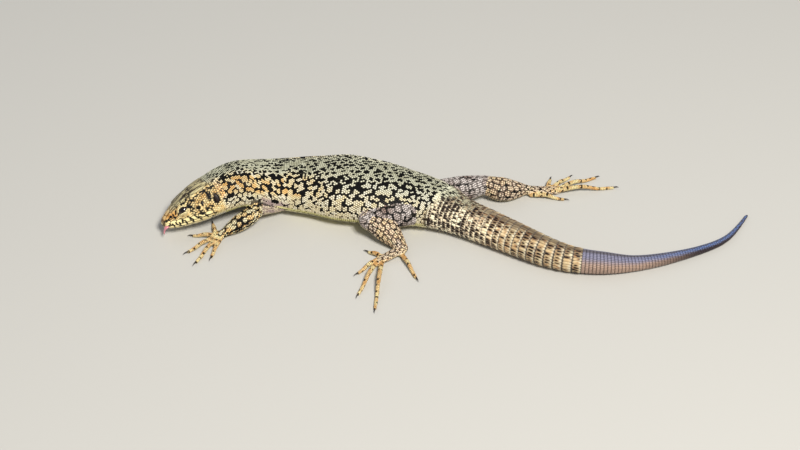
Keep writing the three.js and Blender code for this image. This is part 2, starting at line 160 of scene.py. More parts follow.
# The body's rise above and drop below its widest level, as shares of the half width.
rise_share = profile([
    [0, 0.8], [EYE_AT, 0.88], [13.2, 0.78], [18, 0.84], [30, 0.68], [44, 0.56], [57, 0.68], [71, 0.9],
    [89, 1],
])
drop_share = profile([
    [0, 0.75], [EYE_AT, 0.76], [13.2, 0.76], [21, 0.72], [30, 0.64], [44, 0.54], [57, 0.62], [71, 0.85],
    [89, 0.97],
])
# How square the section is above and below that level: 2 is an ellipse.
square_above = profile([[0, 2.1], [EYE_AT, 2.7], [11.2, 2.6], [23, 2.15], [72, 2]])
square_below = profile([[0, 2.1], [EYE_AT, 2.3], [13.2, 2.3], [31, 2.6], [61, 2.5], [77, 2.1], [99, 2]])
# Height of the widest level over the floor where head and neck are carried, the yaw of the back seen
# from above, and how far the body is rolled over to its left, in degrees.
carried = profile([[0, 3.2], [2.5, 3.6], [14.2, 6.5], [19.2, 6.9], [25, 5.8], [33, 4.9]])
heading = profile([
    [0, HEAD_YAW], [14.2, HEAD_YAW], [19.2, 25], [26, 15], [33, -2.5], [45, -12], [56, -12.5], [69, -31],
    [87, -31.5], [102, -5.5], [117, 17], [130, 28], [139, 55], [TAIL_TIP_AT, 60],
])
roll = profile([[0, HEAD_ROLL], [13.2, HEAD_ROLL], [23, 12], [33, 4], [61, 2], [75, 0]])

# Soft swellings and hollows of both sides: place, degrees up from the widest level, spread along the
# back, spread round the body in degrees, and how far the skin stands out.
BULGES = [
    (EYE_AT + 0.2, 50, 2.0, 16, 0.32),  # brow
    (EYE_AT, 16, 1.3, 16, 0.22),  # lids
    (2.7, 20, 1.2, 18, -0.18),  # hollow between nostril and eye
    (9.8, -12, 2.4, 26, 0.3),  # jaw muscle
    (18.2, -35, 3.0, 25, 0.3),  # side of the throat
    (SHOULDER_AT, -12, 2.6, 25, 0.35),  # shoulder
    (HIP_AT, 0, 4.0, 30, 0.45),  # hip
]

STEP = 0.25  # length of a step of the back's line


def axis_height(at):
    """Height of the widest level: as the head and neck are carried, then resting on the floor."""
    resting = half_width(at) * drop_share(at) - SINK
    return mix(carried(at), resting, smoothstep(at, CARRIED_UNTIL, RESTS_FROM))


def back_line():
    """The back's line seen from above: steps of STEP along the heading, shortened where the line
    climbs, summed up, and moved so that the mid-trunk point is where the pose wants it."""
    middle = (np.arange(math.ceil(TAIL_TIP_AT / STEP)) + 0.5) * STEP
    climb = axis_height(middle + STEP / 2) - axis_height(middle - STEP / 2)
    reach = np.sqrt(np.maximum(STEP**2 - climb**2, 0.2 * STEP**2))
    turn = heading(middle) * RAD
    steps = np.stack([np.cos(turn), np.sin(turn)], 1) * reach[:, None]
    line = np.concatenate([np.zeros((1, 2)), np.cumsum(steps, 0)])
    return line + TRUNK_POINT - line[int(TRUNK_AT / STEP)]


LINE = back_line()


def body_frame(at):
    """Centre of the body and its backward, left and up directions at a place along the back: turned
    by the heading, pitched with the climb of head and neck, and rolled to the left."""
    at = np.asarray(at, float)
    i = np.clip((at / STEP).astype(int), 0, len(LINE) - 2)
    flat = mix(LINE[i], LINE[i + 1], (at / STEP - i)[..., None])
    centre = np.concatenate([flat, axis_height(at)[..., None]], -1)
    ahead = np.maximum(at - 1, 0.6)
    lean = (axis_height(at + 1) - axis_height(ahead)) / (at + 1 - ahead)
    pitch = np.arctan(lean) * smoothstep(CARRIED_UNTIL + 2 - at, 0, 6)
    yaw = heading(at) * RAD
    back = np.stack([np.cos(yaw) * np.cos(pitch), np.sin(yaw) * np.cos(pitch), np.sin(pitch)], -1)
    level = unit(np.cross(back, UP))
    crown = np.cross(level, back)
    tilt = (roll(at) * RAD)[..., None]
    left = level * np.cos(tilt) + crown * np.sin(tilt)
    up = crown * np.cos(tilt) - level * np.sin(tilt)
    return centre, back, left, up


def body_skin(at, angle, grow=0.0):
    """A point of the body at a place along the back and an angle up from its left side: a
    superellipse in the section's left and up directions, with the soft swellings added."""
    at, angle = np.broadcast_arrays(np.asarray(at, float), np.asarray(angle, float))
    centre, _, left, up = body_frame(at)
    c, s = np.cos(angle), np.sin(angle)
    square = np.where(s > 0, square_above(at), square_below(at))
    wide = half_width(at)
    tall = wide * np.where(s > 0, rise_share(at), drop_share(at))
    out = np.full(at.shape, float(grow))
    for place, turn, along, around, swell in BULGES:
        off = np.arctan2(s, np.abs(c)) / RAD - turn
        out = out + swell * bell(at, place, along) * bell(off, 0, around)
    across = np.sign(c) * np.abs(c) ** (2 / square) * (wide + out)
    above = np.sign(s) * np.abs(s) ** (2 / square) * (tall + out)
    return centre + left * across[..., None] + up * above[..., None]


# The body's own map has two numbers: the place along the back, and the share of the way round from
# the spine, 0, to the middle of the belly, 1 on the left and -1 on the right.
TABLE_PLACES = np.concatenate([[0.02, 0.1, 0.25, 0.5, 0.75], np.arange(1, TAIL_TIP_AT, 0.5)])
TABLE_ANGLES = np.linspace(90, -90, 121) * RAD
TABLE_SHARES = np.linspace(0, 1, 61)


def girth_tables():
    """For each place: half the girth, the share of it reached at each angle, and the angle at which
    each share is reached, from the summed chords of the section."""
    ring = body_skin(TABLE_PLACES[:, None], TABLE_ANGLES[None, :])
    chords = np.linalg.norm(np.diff(ring, axis=1), axis=-1)
    run = np.concatenate([np.zeros((len(ring), 1)), np.cumsum(chords, 1)], 1)
    shares = run / run[:, -1:]
    angles = np.array([np.interp(TABLE_SHARES, row, TABLE_ANGLES) for row in shares])
    return run[:, -1], shares, angles


HALF_GIRTHS, SHARE_TABLE, ANGLE_TABLE = girth_tables()


def half_girth(at):
    """Half the way round the body at a place, from the table."""
    return np.interp(at, TABLE_PLACES, HALF_GIRTHS)


def look_up(table, at, column):
    """The table's value between its rows and columns, weighted by how near each is."""
    i = np.clip(np.searchsorted(TABLE_PLACES, at) - 1, 0, len(TABLE_PLACES) - 2)
    f = np.clip((at - TABLE_PLACES[i]) / (TABLE_PLACES[i + 1] - TABLE_PLACES[i]), 0, 1)
    j = np.clip(column.astype(int), 0, table.shape[1] - 2)
    g = column - j
    near = mix(table[i, j], table[i, j + 1], g)
    far = mix(table[i + 1, j], table[i + 1, j + 1], g)
    return mix(near, far, f)


def angle_of(at, share):
    """Angle up from the left side at a share of the half girth; a negative share is on the right."""
    at, share = np.broadcast_arrays(np.asarray(at, float), np.asarray(share, float))
    turned = look_up(ANGLE_TABLE, at, np.clip(np.abs(share), 0, 1) * (len(TABLE_SHARES) - 1))
    return np.where(share >= 0, turned, math.pi - turned)


def share_of(at, angle):
    """The share of the half girth at an angle up from the left side."""
    turned = np.arctan2(np.sin(angle), np.abs(np.cos(angle)))
    column = (90 - turned / RAD) / 180 * (len(TABLE_ANGLES) - 1)
    return look_up(SHARE_TABLE, at, column) * np.where(np.cos(angle) >= 0, 1, -1)


def skin_at(at, share, grow=0.0):
    """A point of the body's skin from its place and its share of the way round."""
    return body_skin(at, angle_of(at, share), grow)


def nearest_of(places, points, turns):
    """The number of the place nearest to each point, found in several turns to spare memory."""
    return np.concatenate([
        ((part[:, None, :] - places) ** 2).sum(-1).argmin(1) for part in np.array_split(points, turns)
    ])


def place_on_body(points):
    """Each point's place along the back, its share of the way round and its height over the body's
    skin: the nearest step of the line, moved by the point's lead over it, then the superellipse
    solved for the angle."""
    stations = np.arange(0, TAIL_TIP_AT, 0.5)
    at = stations[nearest_of(body_frame(stations)[0], points, 40)]
    for _ in range(3):
        centre, back, _, _ = body_frame(at)
        at = np.clip(at + ((points - centre) * back).sum(-1) * 0.8, 0.02, TAIL_TIP_AT)
    centre, _, left, up = body_frame(at)
    off = points - centre
    across, above = (off * left).sum(-1), (off * up).sum(-1)
    wide = np.maximum(half_width(at), 0.05)
    tall = wide * np.where(above > 0, rise_share(at), drop_share(at))
    power = np.where(above > 0, square_above(at), square_below(at)) / 2
    c = np.sign(across) * np.abs(across / wide) ** power
    s = np.sign(above) * np.abs(above / tall) ** power
    angle = np.arctan2(s, c)
    skin = body_skin(at, angle)
    over = np.linalg.norm(off, axis=-1) - np.linalg.norm(skin - centre, axis=-1)
    return at, share_of(at, angle), over


# ---------------------------------------------------------------- limbs


def direction(yaw, pitch=0.0):
    """The direction at a yaw from +X and a pitch up, in degrees."""
    return np.array([
        math.cos(yaw * RAD) * math.cos(pitch * RAD),
        math.sin(yaw * RAD) * math.cos(pitch * RAD),
        math.sin(pitch * RAD),
    ])


class Tube:
    """A limb's length with ball ends: a centripetal Catmull-Rom curve through its points, run on past
    both ends by the end radius, with the radius a smooth profile along it.  flat squeezes it."""

    def __init__(self, points, radii, flat=1.0, start=0.0):
        first, last = unit(points[0] - points[1]), unit(points[-1] - points[-2])
        path = np.array([points[0] + first * radii[0], *points, points[-1] + last * radii[-1]])
        reach = np.linalg.norm(np.diff(path, axis=0), axis=1)
        ends = np.concatenate([[2 * path[0] - path[1]], path, [2 * path[-1] - path[-2]]])
        dense = [self.span(*ends[i : i + 4]) for i in range(len(path) - 1)]
        self.line = np.concatenate([*dense, path[-1:]])
        steps = np.linalg.norm(np.diff(self.line, axis=0), axis=1)
        self.run = np.concatenate([[0], np.cumsum(steps)])
        self.length = self.run[-1]
        walked = np.cumsum(reach)[: len(radii)] / reach.sum()
        self.radius = profile(list(zip(walked, radii)))
        self.flat = flat
        self.start = start  # how far down the limb this length begins, for its markings

    @staticmethod
    def span(p0, p1, p2, p3, count=24):
        """The curve between p1 and p2, with knots spaced by the square root of the chords."""
        chords = ((p0, p1), (p1, p2), (p2, p3))
        d0, d1, d2 = (max(math.sqrt(np.linalg.norm(b - a)), 1e-4) for a, b in chords)
        m1 = ((p1 - p0) / d0 - (p2 - p0) / (d0 + d1) + (p2 - p1) / d1) * d1
        m2 = ((p2 - p1) / d1 - (p3 - p1) / (d1 + d2) + (p3 - p2) / d2) * d1
        t = (np.arange(count) / count)[:, None]
        return (
            p1 * (2 * t**3 - 3 * t**2 + 1) + m1 * (t**3 - 2 * t**2 + t)
            + p2 * (3 * t**2 - 2 * t**3) + m2 * (t**3 - t**2)
        )

    def frame(self, share):
        """Centre, backward, side and up directions at a share of the tube's length."""
        run = np.asarray(share, float) * self.length
        centre = np.stack([np.interp(run, self.run, self.line[:, k]) for k in range(3)], -1)
        slope = np.gradient(self.line, self.run, axis=0)
        back = unit(np.stack([np.interp(run, self.run, slope[:, k]) for k in range(3)], -1))
        side = unit(np.cross(back, UP))
        return centre, back, side, np.cross(side, back)

    def thickness(self, share, grow=0.0):
        """Radius with the ball ends: r * sqrt(1 - (1 - d/r)^2) within r of an end."""
        radius = self.radius(share) + grow
        to_end = np.minimum(share, 1 - share) * self.length
        return radius * np.sqrt(np.maximum(0, 1 - np.maximum(0, 1 - to_end / radius) ** 2))

    def skin(self, share, angle, grow=0.0):
        """The centre, moved by the thickness along the side and up directions, less far upwards."""
        share, angle = np.broadcast_arrays(np.asarray(share, float), np.asarray(angle, float))
        centre, _, side, up = self.frame(share)
        thick = self.thickness(share, grow)
        return (
            centre + side * (np.cos(angle) * thick)[..., None]
            + up * (np.sin(angle) * thick * self.flat)[..., None]
        )

    def place(self, points):
        """Each point's share of the length, angle round the tube and height over its skin."""
        share = self.run[nearest_of(self.line, points, 8)] / self.length
        centre, _, side, up = self.frame(share)
        off = points - centre
        angle = np.arctan2((off * up).sum(-1) / self.flat, (off * side).sum(-1))
        skin = self.skin(share, angle)
        over = np.linalg.norm(off, axis=-1) - np.linalg.norm(skin - centre, axis=-1)
        return share, angle, over


# Each limb's pose: directions as yaw from +X and pitch up in degrees, and the yaw of each digit.
# fold_at is the place on the flank to which a fold of skin runs from the elbow.
LIMBS = [
    dict(name="fore", side="left", at=SHOULDER_AT, inset=1.0, root_height=4.3, fold_at=29.5,
         upper=(-96, -6), lower=(-151.5, -19), foot=-149, digits=[104, 176, -143, -120, -107]),
    dict(name="fore", side="right", at=SHOULDER_AT, inset=2.4, root_height=4.3,
         upper=(58, -3), lower=(30, -24), foot=172, digits=[-110, -155, -178, 178, 164]),
    dict(name="hind", side="left", at=HIP_AT, inset=2.4, root_height=4.4,
         upper=(-160.5, 1), lower=(-36, -19), foot=-148, digits=[150, -137, -112, -95.5, -66]),
    dict(name="hind", side="right", at=HIP_AT, inset=2.4, root_height=4.2,
         upper=(21, -3), lower=(4.5, -12.5), foot=4.5, digits=[75, 45, 27, 8, -9]),
]
BUILDS = {
    "fore": dict(bones=(UPPER_ARM, FOREARM, PALM), upper=[2.3, 2.1, 1.75], lower=[1.8, 1.95, 1.15],
                 muscle=0, foot=[1.1, 1.35, 1.15], digits=FINGERS, spread=1.05, fifth_back=0.3),
    "hind": dict(bones=(THIGH, SHANK, SOLE), upper=[3.3, 3.1, 2.2], lower=[2.1, 2.75, 1.2],
                 muscle=0.95, foot=[1.25, 1.2, 1.3], digits=TOES, spread=1.15, fifth_back=0.85),
}
CALF_AT = 0.4  # how far down the shank its muscle is thickest
PALM_FLAT, SOLE_HEIGHT = 0.6, 0.55  # thickness of a palm or sole, and its height, as shares of its width
FOLD_START, FOLD_ANGLE, FOLD_SUNK = 0.85, -38, 0.6  # on the upper arm, and on the flank
FOLD_RADII = [1.5, 1.2, 0.9]
DIGIT_RADII = [0.62, 0.55, 0.48, 0.44]
DIGIT_ARCH = 0.07
CLAW_RADII = [0.3, 0.2, 0.07]


def digit(knuckle, yaw, length):
    """One finger or toe, arched a little and resting on its tip, and the path of its claw."""
    ahead = direction(yaw)
    rest = DIGIT_RADII[-1] - SINK

    def point(share, height, more=0.0):
        """A place over the floor at a share of the digit's length, or so much farther on."""
        return np.append(knuckle[:2], height) + ahead * (share * length + more)

    path = [
        point(0, knuckle[2]),
        point(0.45, rest + 0.25 + DIGIT_ARCH * length),
        point(0.75, rest + 0.1),
        point(1, rest, -DIGIT_RADII[-1]),
    ]
    claw = [point(1, rest + 0.1, -0.35), point(1, rest + 0.2, CLAW * 0.45), point(1, 0.06, CLAW)]
    return path, claw


def limb(pose):
    """A limb's tubes from root to toes, and the paths of its claws."""
    build = BUILDS[pose["name"]]
    sign = 1 if pose["side"] == "left" else -1
    centre, _, left, _ = body_frame(np.array(pose["at"]))
    root = centre + left * sign * pose["inset"]
    root[2] = pose["root_height"]
    bones, foot_radii = build["bones"], build["foot"]
    bend = root + direction(*pose["upper"]) * bones[0]
    ankle = bend + direction(*pose["lower"]) * bones[1]
    ahead = direction(pose["foot"])
    sole = np.append(ankle[:2], foot_radii[2] * SOLE_HEIGHT - SINK) + ahead * bones[2]
    to_first = direction(pose["foot"] - 90 * sign)
    calf = mix(bend, ankle, CALF_AT) + direction(pose["lower"][0] + 90 * sign) * build["muscle"]
    tubes = {
        "upper": Tube([root, mix(root, bend, 0.5), bend], build["upper"]),
        "lower": Tube([bend, calf, ankle], build["lower"], start=bones[0]),
        "palm": Tube([ankle, mix(ankle, sole, 0.5), sole], foot_radii, PALM_FLAT, bones[0] + bones[1]),
    }
    if "fold_at" in pose:
        elbow = mix(root, bend, FOLD_START)
        flank = body_skin(pose["fold_at"], FOLD_ANGLE * RAD, -FOLD_SUNK)
        tubes["fold"] = Tube([elbow, mix(elbow, flank, 0.5), flank], FOLD_RADII)
    claws = []
    for i, length in enumerate(build["digits"]):
        behind = build["fifth_back"] * bones[2] if i == 4 else 0.12 * abs(i - 2) * bones[2]
        knuckle = sole + to_first * build["spread"] * (1 - i / 2) - ahead * behind
        knuckle[2] = DIGIT_RADII[0] + 0.1
        path, claw = digit(knuckle, pose["digits"][i], length)
        tubes[f"digit{i}"] = Tube(path, DIGIT_RADII, start=sum(bones))
        claws.append(claw)
    return tubes, claws


limbs = [(pose, *limb(pose)) for pose in LIMBS]


def on_side(at, degrees, side):
    """The point of the body's skin so many degrees up from the widest level of its left or right."""
    return body_skin(at, degrees * RAD if side > 0 else math.pi - degrees * RAD)


def side_place(at, angle, depth, side):
    """Origin and backward, outward and upward directions of something set in the side of the head."""
    centre, back, _, _ = body_frame(np.array(float(at)))
    skin = on_side(at, angle, side)
    outward = skin - centre
    outward = unit(outward - back * (outward @ back))
    outward = unit(outward - back * FACING_AHEAD)
    along = unit(back - outward * (back @ outward))
    return skin - outward * depth, along, outward, np.cross(along, outward) * side


eye_places = {side: side_place(EYE_AT, EYE_ANGLE, EYE_DEPTH, side) for side in (1, -1)}
ear_places = {side: side_place(EAR_AT, EAR_ANGLE, EAR_DEPTH, side) for side in (1, -1)}
nostrils = {side: on_side(NOSTRIL_AT, NOSTRIL_ANGLE, side) for side in (1, -1)}

# Where the body's own coordinates lie in the frame: the left eye is in both.
low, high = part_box("eye_left")
shift = (np.array(low) + np.array(high)) / 2 / MM - eye_places[1][0]

# ---------------------------------------------------------------- rings of the tail


def counted(start, end, gap):
    """Places from start to end, and how many gaps of gap(place) fit before each: the sum of 1 / gap."""
    grid = np.linspace(start, end, 3000)
    return grid, np.concatenate([[0], np.cumsum(np.diff(grid) / gap(grid[:-1]))])


def spaced(start, end, gap):
    """Places from start to end whose gaps are gap(place)."""
    grid, count = counted(start, end, gap)
    return np.interp(np.arange(int(count[-1]) + 1), count, grid)


def whorl_gap(at):
    """Distance between whorls, which grows backwards as a smooth step."""
    return mix(0.85, 1.9, smoothstep(at, 62, 96))


def ring_gap(at):
    """Distance between the regrown tail's rings, which shrinks towards the tip."""
    return mix(0.76, 0.5, smoothstep(at, 108, 140))


def whorl_places():
    """Places of the whorls, counted from the break back to the trunk's granules."""
    ends = BREAK_AT + WHORLS_FROM
    return ends - spaced(WHORLS_FROM + 0.85, BREAK_AT - 0.3, lambda at: whorl_gap(ends - at))[::-1]


WHORLS = whorl_places()
TRUNK_END = WHORLS[0] - 0.42 * whorl_gap(WHORLS[0])
WHORL_COUNTS = np.round(half_girth(WHORLS) * 2 / mix(0.52, 0.68, smoothstep(WHORLS, 66, 90)))
RINGS = spaced(BREAK_AT + 0.45, TAIL_TIP_AT - 0.5, ring_gap)

# ---------------------------------------------------------------- colours and patterns


def linear(code):
    """The linear colour of an sRGB hex value."""
    srgb = np.array([int(code[i : i + 2], 16) for i in (1, 3, 5)]) / 255
    return np.where(srgb <= 0.04045, srgb / 12.92, ((srgb + 0.055) / 1.055) ** 2.4)


INK = linear("#070504")
INK_BROWN = linear("#2a1a10")
OLIVE, OLIVE_PALE = linear("#aba98e"), linear("#e2e2c8")
TAN, ORANGE_TAN, CREAM = linear("#f2d6a2"), linear("#f0b56c"), linear("#fcf2d0")
YELLOW_CREAM, BELLY = linear("#efe49c"), linear("#eee7d0")
ARMPIT = linear("#ac9893")
CROWN, CROWN_PALE, CROWN_STREAK = linear("#a0936c"), linear("#dccf9c"), linear("#372a18")
SNOUT_BROWN, TIP_BROWN = linear("#c98f45"), linear("#52341b")
CHEEK, CHEEK_PALE, LIP_YELLOW = linear("#d6b270"), linear("#f6e4ac"), linear("#f4e4a8")
TAIL_TOP, TAIL_BROWN, RING_GREY = linear("#9c8a6e"), linear("#5d4732"), linear("#80756f")
TAIL_CREAM, TAIL_CREAM_PALE, TAIL_TAN = linear("#f2dcae"), linear("#fff3d2"), linear("#d9a468")
DASH_BROWN, RUST = linear("#1d0f09"), linear("#a5683a")
# The regrown tail's upper colours are partly its own and partly a painted reflection of the sky.
REGROWN_TOP_AND_PAINTED_SKY, REGROWN_LOW, REGROWN_RIDGE = linear("#7f7d93"), linear("#ab8f7e"), linear("#554f51")
TIP_TOP_AND_PAINTED_SKY, TIP_LOW = linear("#5b6e9c"), linear("#30252a")
THIGH_GREY, THIGH_BROWN, SHANK_TAN = linear("#d0c6c0"), linear("#8d776c"), linear("#f4cea4")
ARM_CREAM, TOE_YELLOW, TOE_ORANGE = linear("#f2e0b4"), linear("#ecd29c"), linear("#c58e4e")
LIMB_UNDER = linear("#d9cba6")


def chance(i, j, seed):
    """A number from 0 to 1 for each pair of whole numbers: what is left of a large sine."""
    return np.modf(np.abs(np.sin(i * 127.1 + j * 311.7 + seed * 74.7) * 43758.5453))[0]


def drift(x, y, seed):
    """Smooth noise from -1 to 1, one swell per unit: chances on a square lattice, blended."""
    i, j = np.floor(x), np.floor(y)
    f, g = smoothstep(x - i, 0, 1), smoothstep(y - j, 0, 1)
    near = mix(chance(i, j, seed), chance(i + 1, j, seed), f)
    far = mix(chance(i, j + 1, seed), chance(i + 1, j + 1, seed), f)
    return mix(near, far, g) * 2 - 1


def cells(x, y, seed, loose=0.55):
    """A net of cells about one unit across: the distance to the nearest seed point, how much farther
    the next one is, and the nearest one's own chance.  Seeds stand in staggered rows, loosened."""
    i, j = np.floor(x), np.floor(y)
    first = np.full(x.shape, 9.0)
    second = first.copy()
    own = np.zeros(x.shape)
    for di in (-1, 0, 1):
        for dj in (-1, 0, 1):
            a, b = i + di, j + dj
            px = a + 0.25 + 0.5 * np.mod(b, 2) + loose * (chance(a, b, seed) - 0.5)
            py = b + 0.5 + loose * (chance(a, b, seed + 9) - 0.5)
            away = np.hypot(x - px, y - py)
            nearer = away < first
            second = np.where(nearer, first, np.minimum(second, away))
            own = np.where(nearer, chance(a, b, seed + 5), own)
            first = np.where(nearer, away, first)
    return first, second - first, own


def laid_over(colour, *layers):
    """The colour moved towards each layer's colour in turn, by the layer's share from 0 to 1."""
    for over, share in layers:
        colour = colour + (over - colour) * np.clip(share, 0, 1)[..., None]
    return colour


# Where the black net of the flank is densest, as a share of the way round.
net_line = profile([[13, 0.4], [20, 0.4], [27, 0.36], [34, 0.33], [45, 0.34], [57, 0.32], [66, 0.3]])
# Where the belly's plates begin.
plate_edge = profile([[14, 0.6], [22, 0.6], [30, 0.62], [44, 0.63], [60, 0.62], [67, 0.6]])
# Where the markings of the flank end above the belly.
belly_edge = profile([[14, 0.76], [22, 0.72], [29, 0.63], [60, 0.62], [67, 0.62]])
# Radius of the pale spots, in cells, against tenths of the way round below the net's densest line.
spot_radius = profile([
    [-4, 0.8], [-1.9, 0.7], [-1.1, 0.52], [-0.5, 0.45], [0.6, 0.44], [1.2, 0.54], [2, 0.6], [3, 0.63],
])
# Pitch of the pale spots: along the body, and across it as a share of that.
spot_length = profile([[13, 1.15], [22, 1.3], [34, 1.5], [50, 1.5], [60, 1.25], [69, 1.1]])
SPOT_COUNTS = counted(10, 80, spot_length)
SPOT_WIDTH = 0.84


def blob_length(at):
    """Pitch along the body of the separate black marks of the back, growing as a smooth step."""
    return mix(1.1, 1.65, smoothstep(at, 15, 36))


BLOB_COUNTS = counted(10, 80, blob_length)
BLOB_WIDTH = 0.72  # their pitch across, as a share of that
SLIT_FROM, SLIT_TO, SLIT_SHARE, SLIT_RADIUS = 25.9, 27.3, 0.53, 0.55  # the armpit's black slit
SPINE_TURN = 0.08  # how far the markings of the trunk and tail are turned up its left side


def turned_up(share):
    """Shares of the way round, turned most at the spine and not at all under the belly."""
    return share + SPINE_TURN * (1 - np.abs(share))


def trunk_colour(at, share):
    """Neck and trunk: short black marks in slanting rows on a green back, then round pale spots in
    a black net along the flank, growing into cream cells with thin brown edges, above a yellowish
    row along the belly.  Marks and spots are what lies near the seeds of two nets of cells, and the
    zones are smooth steps of how far below the net's densest line a place is."""
    girth = half_girth(at)
    turned = turned_up(share)
    around = np.abs(turned)
    x, y = at, turned * girth
    below = (around - net_line(at)) * 10
    low = around - belly_edge(at)
    neck = smoothstep(x, 24, 19)
    patchy = drift(x / 3.2, y / 3.2, 12)

    # Colours of the ground: the green back, the spots of the flank, and the cells under them.
    u = np.interp(x, *SPOT_COUNTS) + 0.2 * drift(x / 1.4, y / 1.4, 8)
    v = y / (SPOT_WIDTH * spot_length(x)) + 0.12 * u + 0.22 * drift(x / 1.4, y / 1.4, 9)
    first, gap, own = cells(u, v, 11, 0.62)
    green = laid_over(OLIVE, (OLIVE_PALE, 0.4 + 0.35 * drift(x / 0.9, y / 0.7, 2) + 0.35 * (own - 0.5)))
    warm = smoothstep(x, 48, 30) * smoothstep(below, -1.4, -0.3)
    warm = warm * smoothstep(below - 1.2 * neck, 1.8, 0.8)
    spot = laid_over(
        CREAM, (TAN, 0.8 * own), (ORANGE_TAN, warm * (0.3 + 0.7 * own)),
        (OLIVE_PALE, 0.7 * smoothstep(x, 32, 44) * smoothstep(below, 0.6, -0.6)),
    )
    lower = laid_over(CREAM, (TAN, 0.2 + 0.5 * own + 0.2 * patchy))
    edges = smoothstep(gap, 0.2, 0.08) * smoothstep(below, 0.8, 1.6)

    # Black: the net between the spots, and the separate marks of the back.
    radius = spot_radius(below) + 0.05 * patchy - 0.03 - 0.07 * neck * smoothstep(below, 0.5, 1.5)
    net = (first > radius) * smoothstep(low, 0.0, -0.05)
    u = np.interp(x, *BLOB_COUNTS) + 0.16 * drift(x / 0.9, y / 0.9, 14)
    v = y / (BLOB_WIDTH * blob_length(x)) + 0.35 * u + 0.2 * drift(x / 0.9, y / 0.9, 15)
    middle, _, luck = cells(u, v, 16, 0.4)
    size = (0.28 + 0.13 * luck) * (luck > 0.06) * smoothstep(x, 12, 14)
    blob = (middle < size) * (below < -0.8)

    # The armpit's bare-looking skin and its slit.
    pale = smoothstep(around, 0.52, 0.58) * smoothstep(np.abs(x - 27), 5.0, 3.5)
    armpit = laid_over(ARMPIT, (CREAM, 0.6 * drift(x / 0.8, y / 0.6, 17)))
    to_slit = np.hypot(x - np.clip(x, SLIT_FROM, SLIT_TO), (np.abs(share) - SLIT_SHARE) * girth)
    return laid_over(
        green,
        (spot, smoothstep(below + 0.5 * patchy, -2.1, -0.9)),
        (lower, smoothstep(below, 0.9, 1.8)),
        (INK_BROWN, edges * 0.85),
        (INK, np.maximum(net, blob)),
        (armpit, pale),
        (INK, pale * (first > radius - 0.02)),
        (INK, to_slit < SLIT_RADIUS + 0.1 * patchy),
        (YELLOW_CREAM, smoothstep(low, -0.03, 0.01)),
        (BELLY, smoothstep(low, 0.1, 0.2)),
    )


def tail_colour(at, share):
    """The tail before the break, whorl by whorl: olive above at its base and grey-brown farther on,
    with fine streaks along it, and cream sides, where most scales have a black-brown dash, an
    ellipse of its place in the scale.  Whorl edges are lilac-grey, or brown below."""
    turned = turned_up(share)
    around = np.abs(turned)
    x, y = at, turned * half_girth(at)
    early = smoothstep(x, 86, 72)

    # Each point's whorl and column, and how far from the middle of that scale it is, from -0.5 to 0.5.
    whorl = np.rint(np.interp(x, WHORLS, np.arange(len(WHORLS)))).astype(int)
    along = (x - WHORLS[whorl]) / whorl_gap(x)
    along = along - np.rint(along)
    column = (share + 1) / 2 * WHORL_COUNTS[whorl] - 0.25 - 0.5 * np.mod(whorl, 2)
    aside = column - np.rint(column)
    luck, other, ahead, sideways = (chance(whorl, np.rint(column), seed) for seed in (35, 38, 36, 40))

    streaks = drift(x / 1.6, y / 0.22, 31)
    top = laid_over(TAIL_TOP, (TAIL_BROWN, 0.3 + 0.7 * streaks), (OLIVE, 0.8 * smoothstep(x, 80, 69)))
    bright = smoothstep(along + 0.15 * drift(x, y / 0.4, 29), 0.15, 0.35)
    side = laid_over(
        TAIL_CREAM, (TAIL_TAN, 0.45 * luck + 0.3 * drift(x / 0.9, y / 0.5, 32)),
        (TAIL_CREAM_PALE, np.maximum(0.8 * bright, 0.95 * early)),
    )
    limit = around + 0.06 * drift(x / 1.3, y / 1.3, 33) - 0.1 * early

    # Dashes with a rusty rim, on the scales whose luck is below a limit that is highest at mid-height.
    luck = luck + 0.45 * drift(x / 1.9, y / 1.6, 39)
    likely = 0.72 + 0.04 * early + 0.16 * smoothstep(x, 93, 97)
    likely = likely * smoothstep(around, 0.02, 0.16) * smoothstep(around, 0.85, 0.7)
    length, width = 0.2 + 0.26 * other + 0.12 * early, 0.24 + 0.16 * other + 0.16 * early
    lying = (along + 0.12 + 0.22 * (ahead - 0.5)) / length
    across = np.abs(aside + 0.2 * (sideways - 0.5)) / width
    away = lying**2 + across**2
    dash = (luck < likely) * smoothstep(away + 0.3 * drift(x / 0.3, y / 0.2, 30), 1.15, 0.8)
    halo = (luck < likely + 0.1) * smoothstep(away, 2.2, 0.9)

    # Larger blots on the tail's base, the whorls' edges, and the pale underside.
    blot = (cells(x / 1.1, y / 1.0, 37)[0] > 0.54) * early * smoothstep(around, 0.7, 0.6)
    blot = blot * np.maximum(smoothstep(around, 0.04, 0.12), smoothstep(x, 77, 71))
    edge = laid_over(RING_GREY, (DASH_BROWN, smoothstep(around, 0.5, 0.7)))
    colour = laid_over(
        top,
        (side, smoothstep(limit, 0.06, 0.2)),
        (RUST, halo * (0.7 - 0.35 * early)),
        (DASH_BROWN, dash),
        (DASH_BROWN, blot),
        (edge, smoothstep(np.abs(along), 0.41, 0.47) * 0.8),
    )
    colour = colour * (1 - 0.34 * smoothstep(x, 76, 88))[..., None]
    return laid_over(colour, (BELLY, smoothstep(around, 0.8, 0.92)))


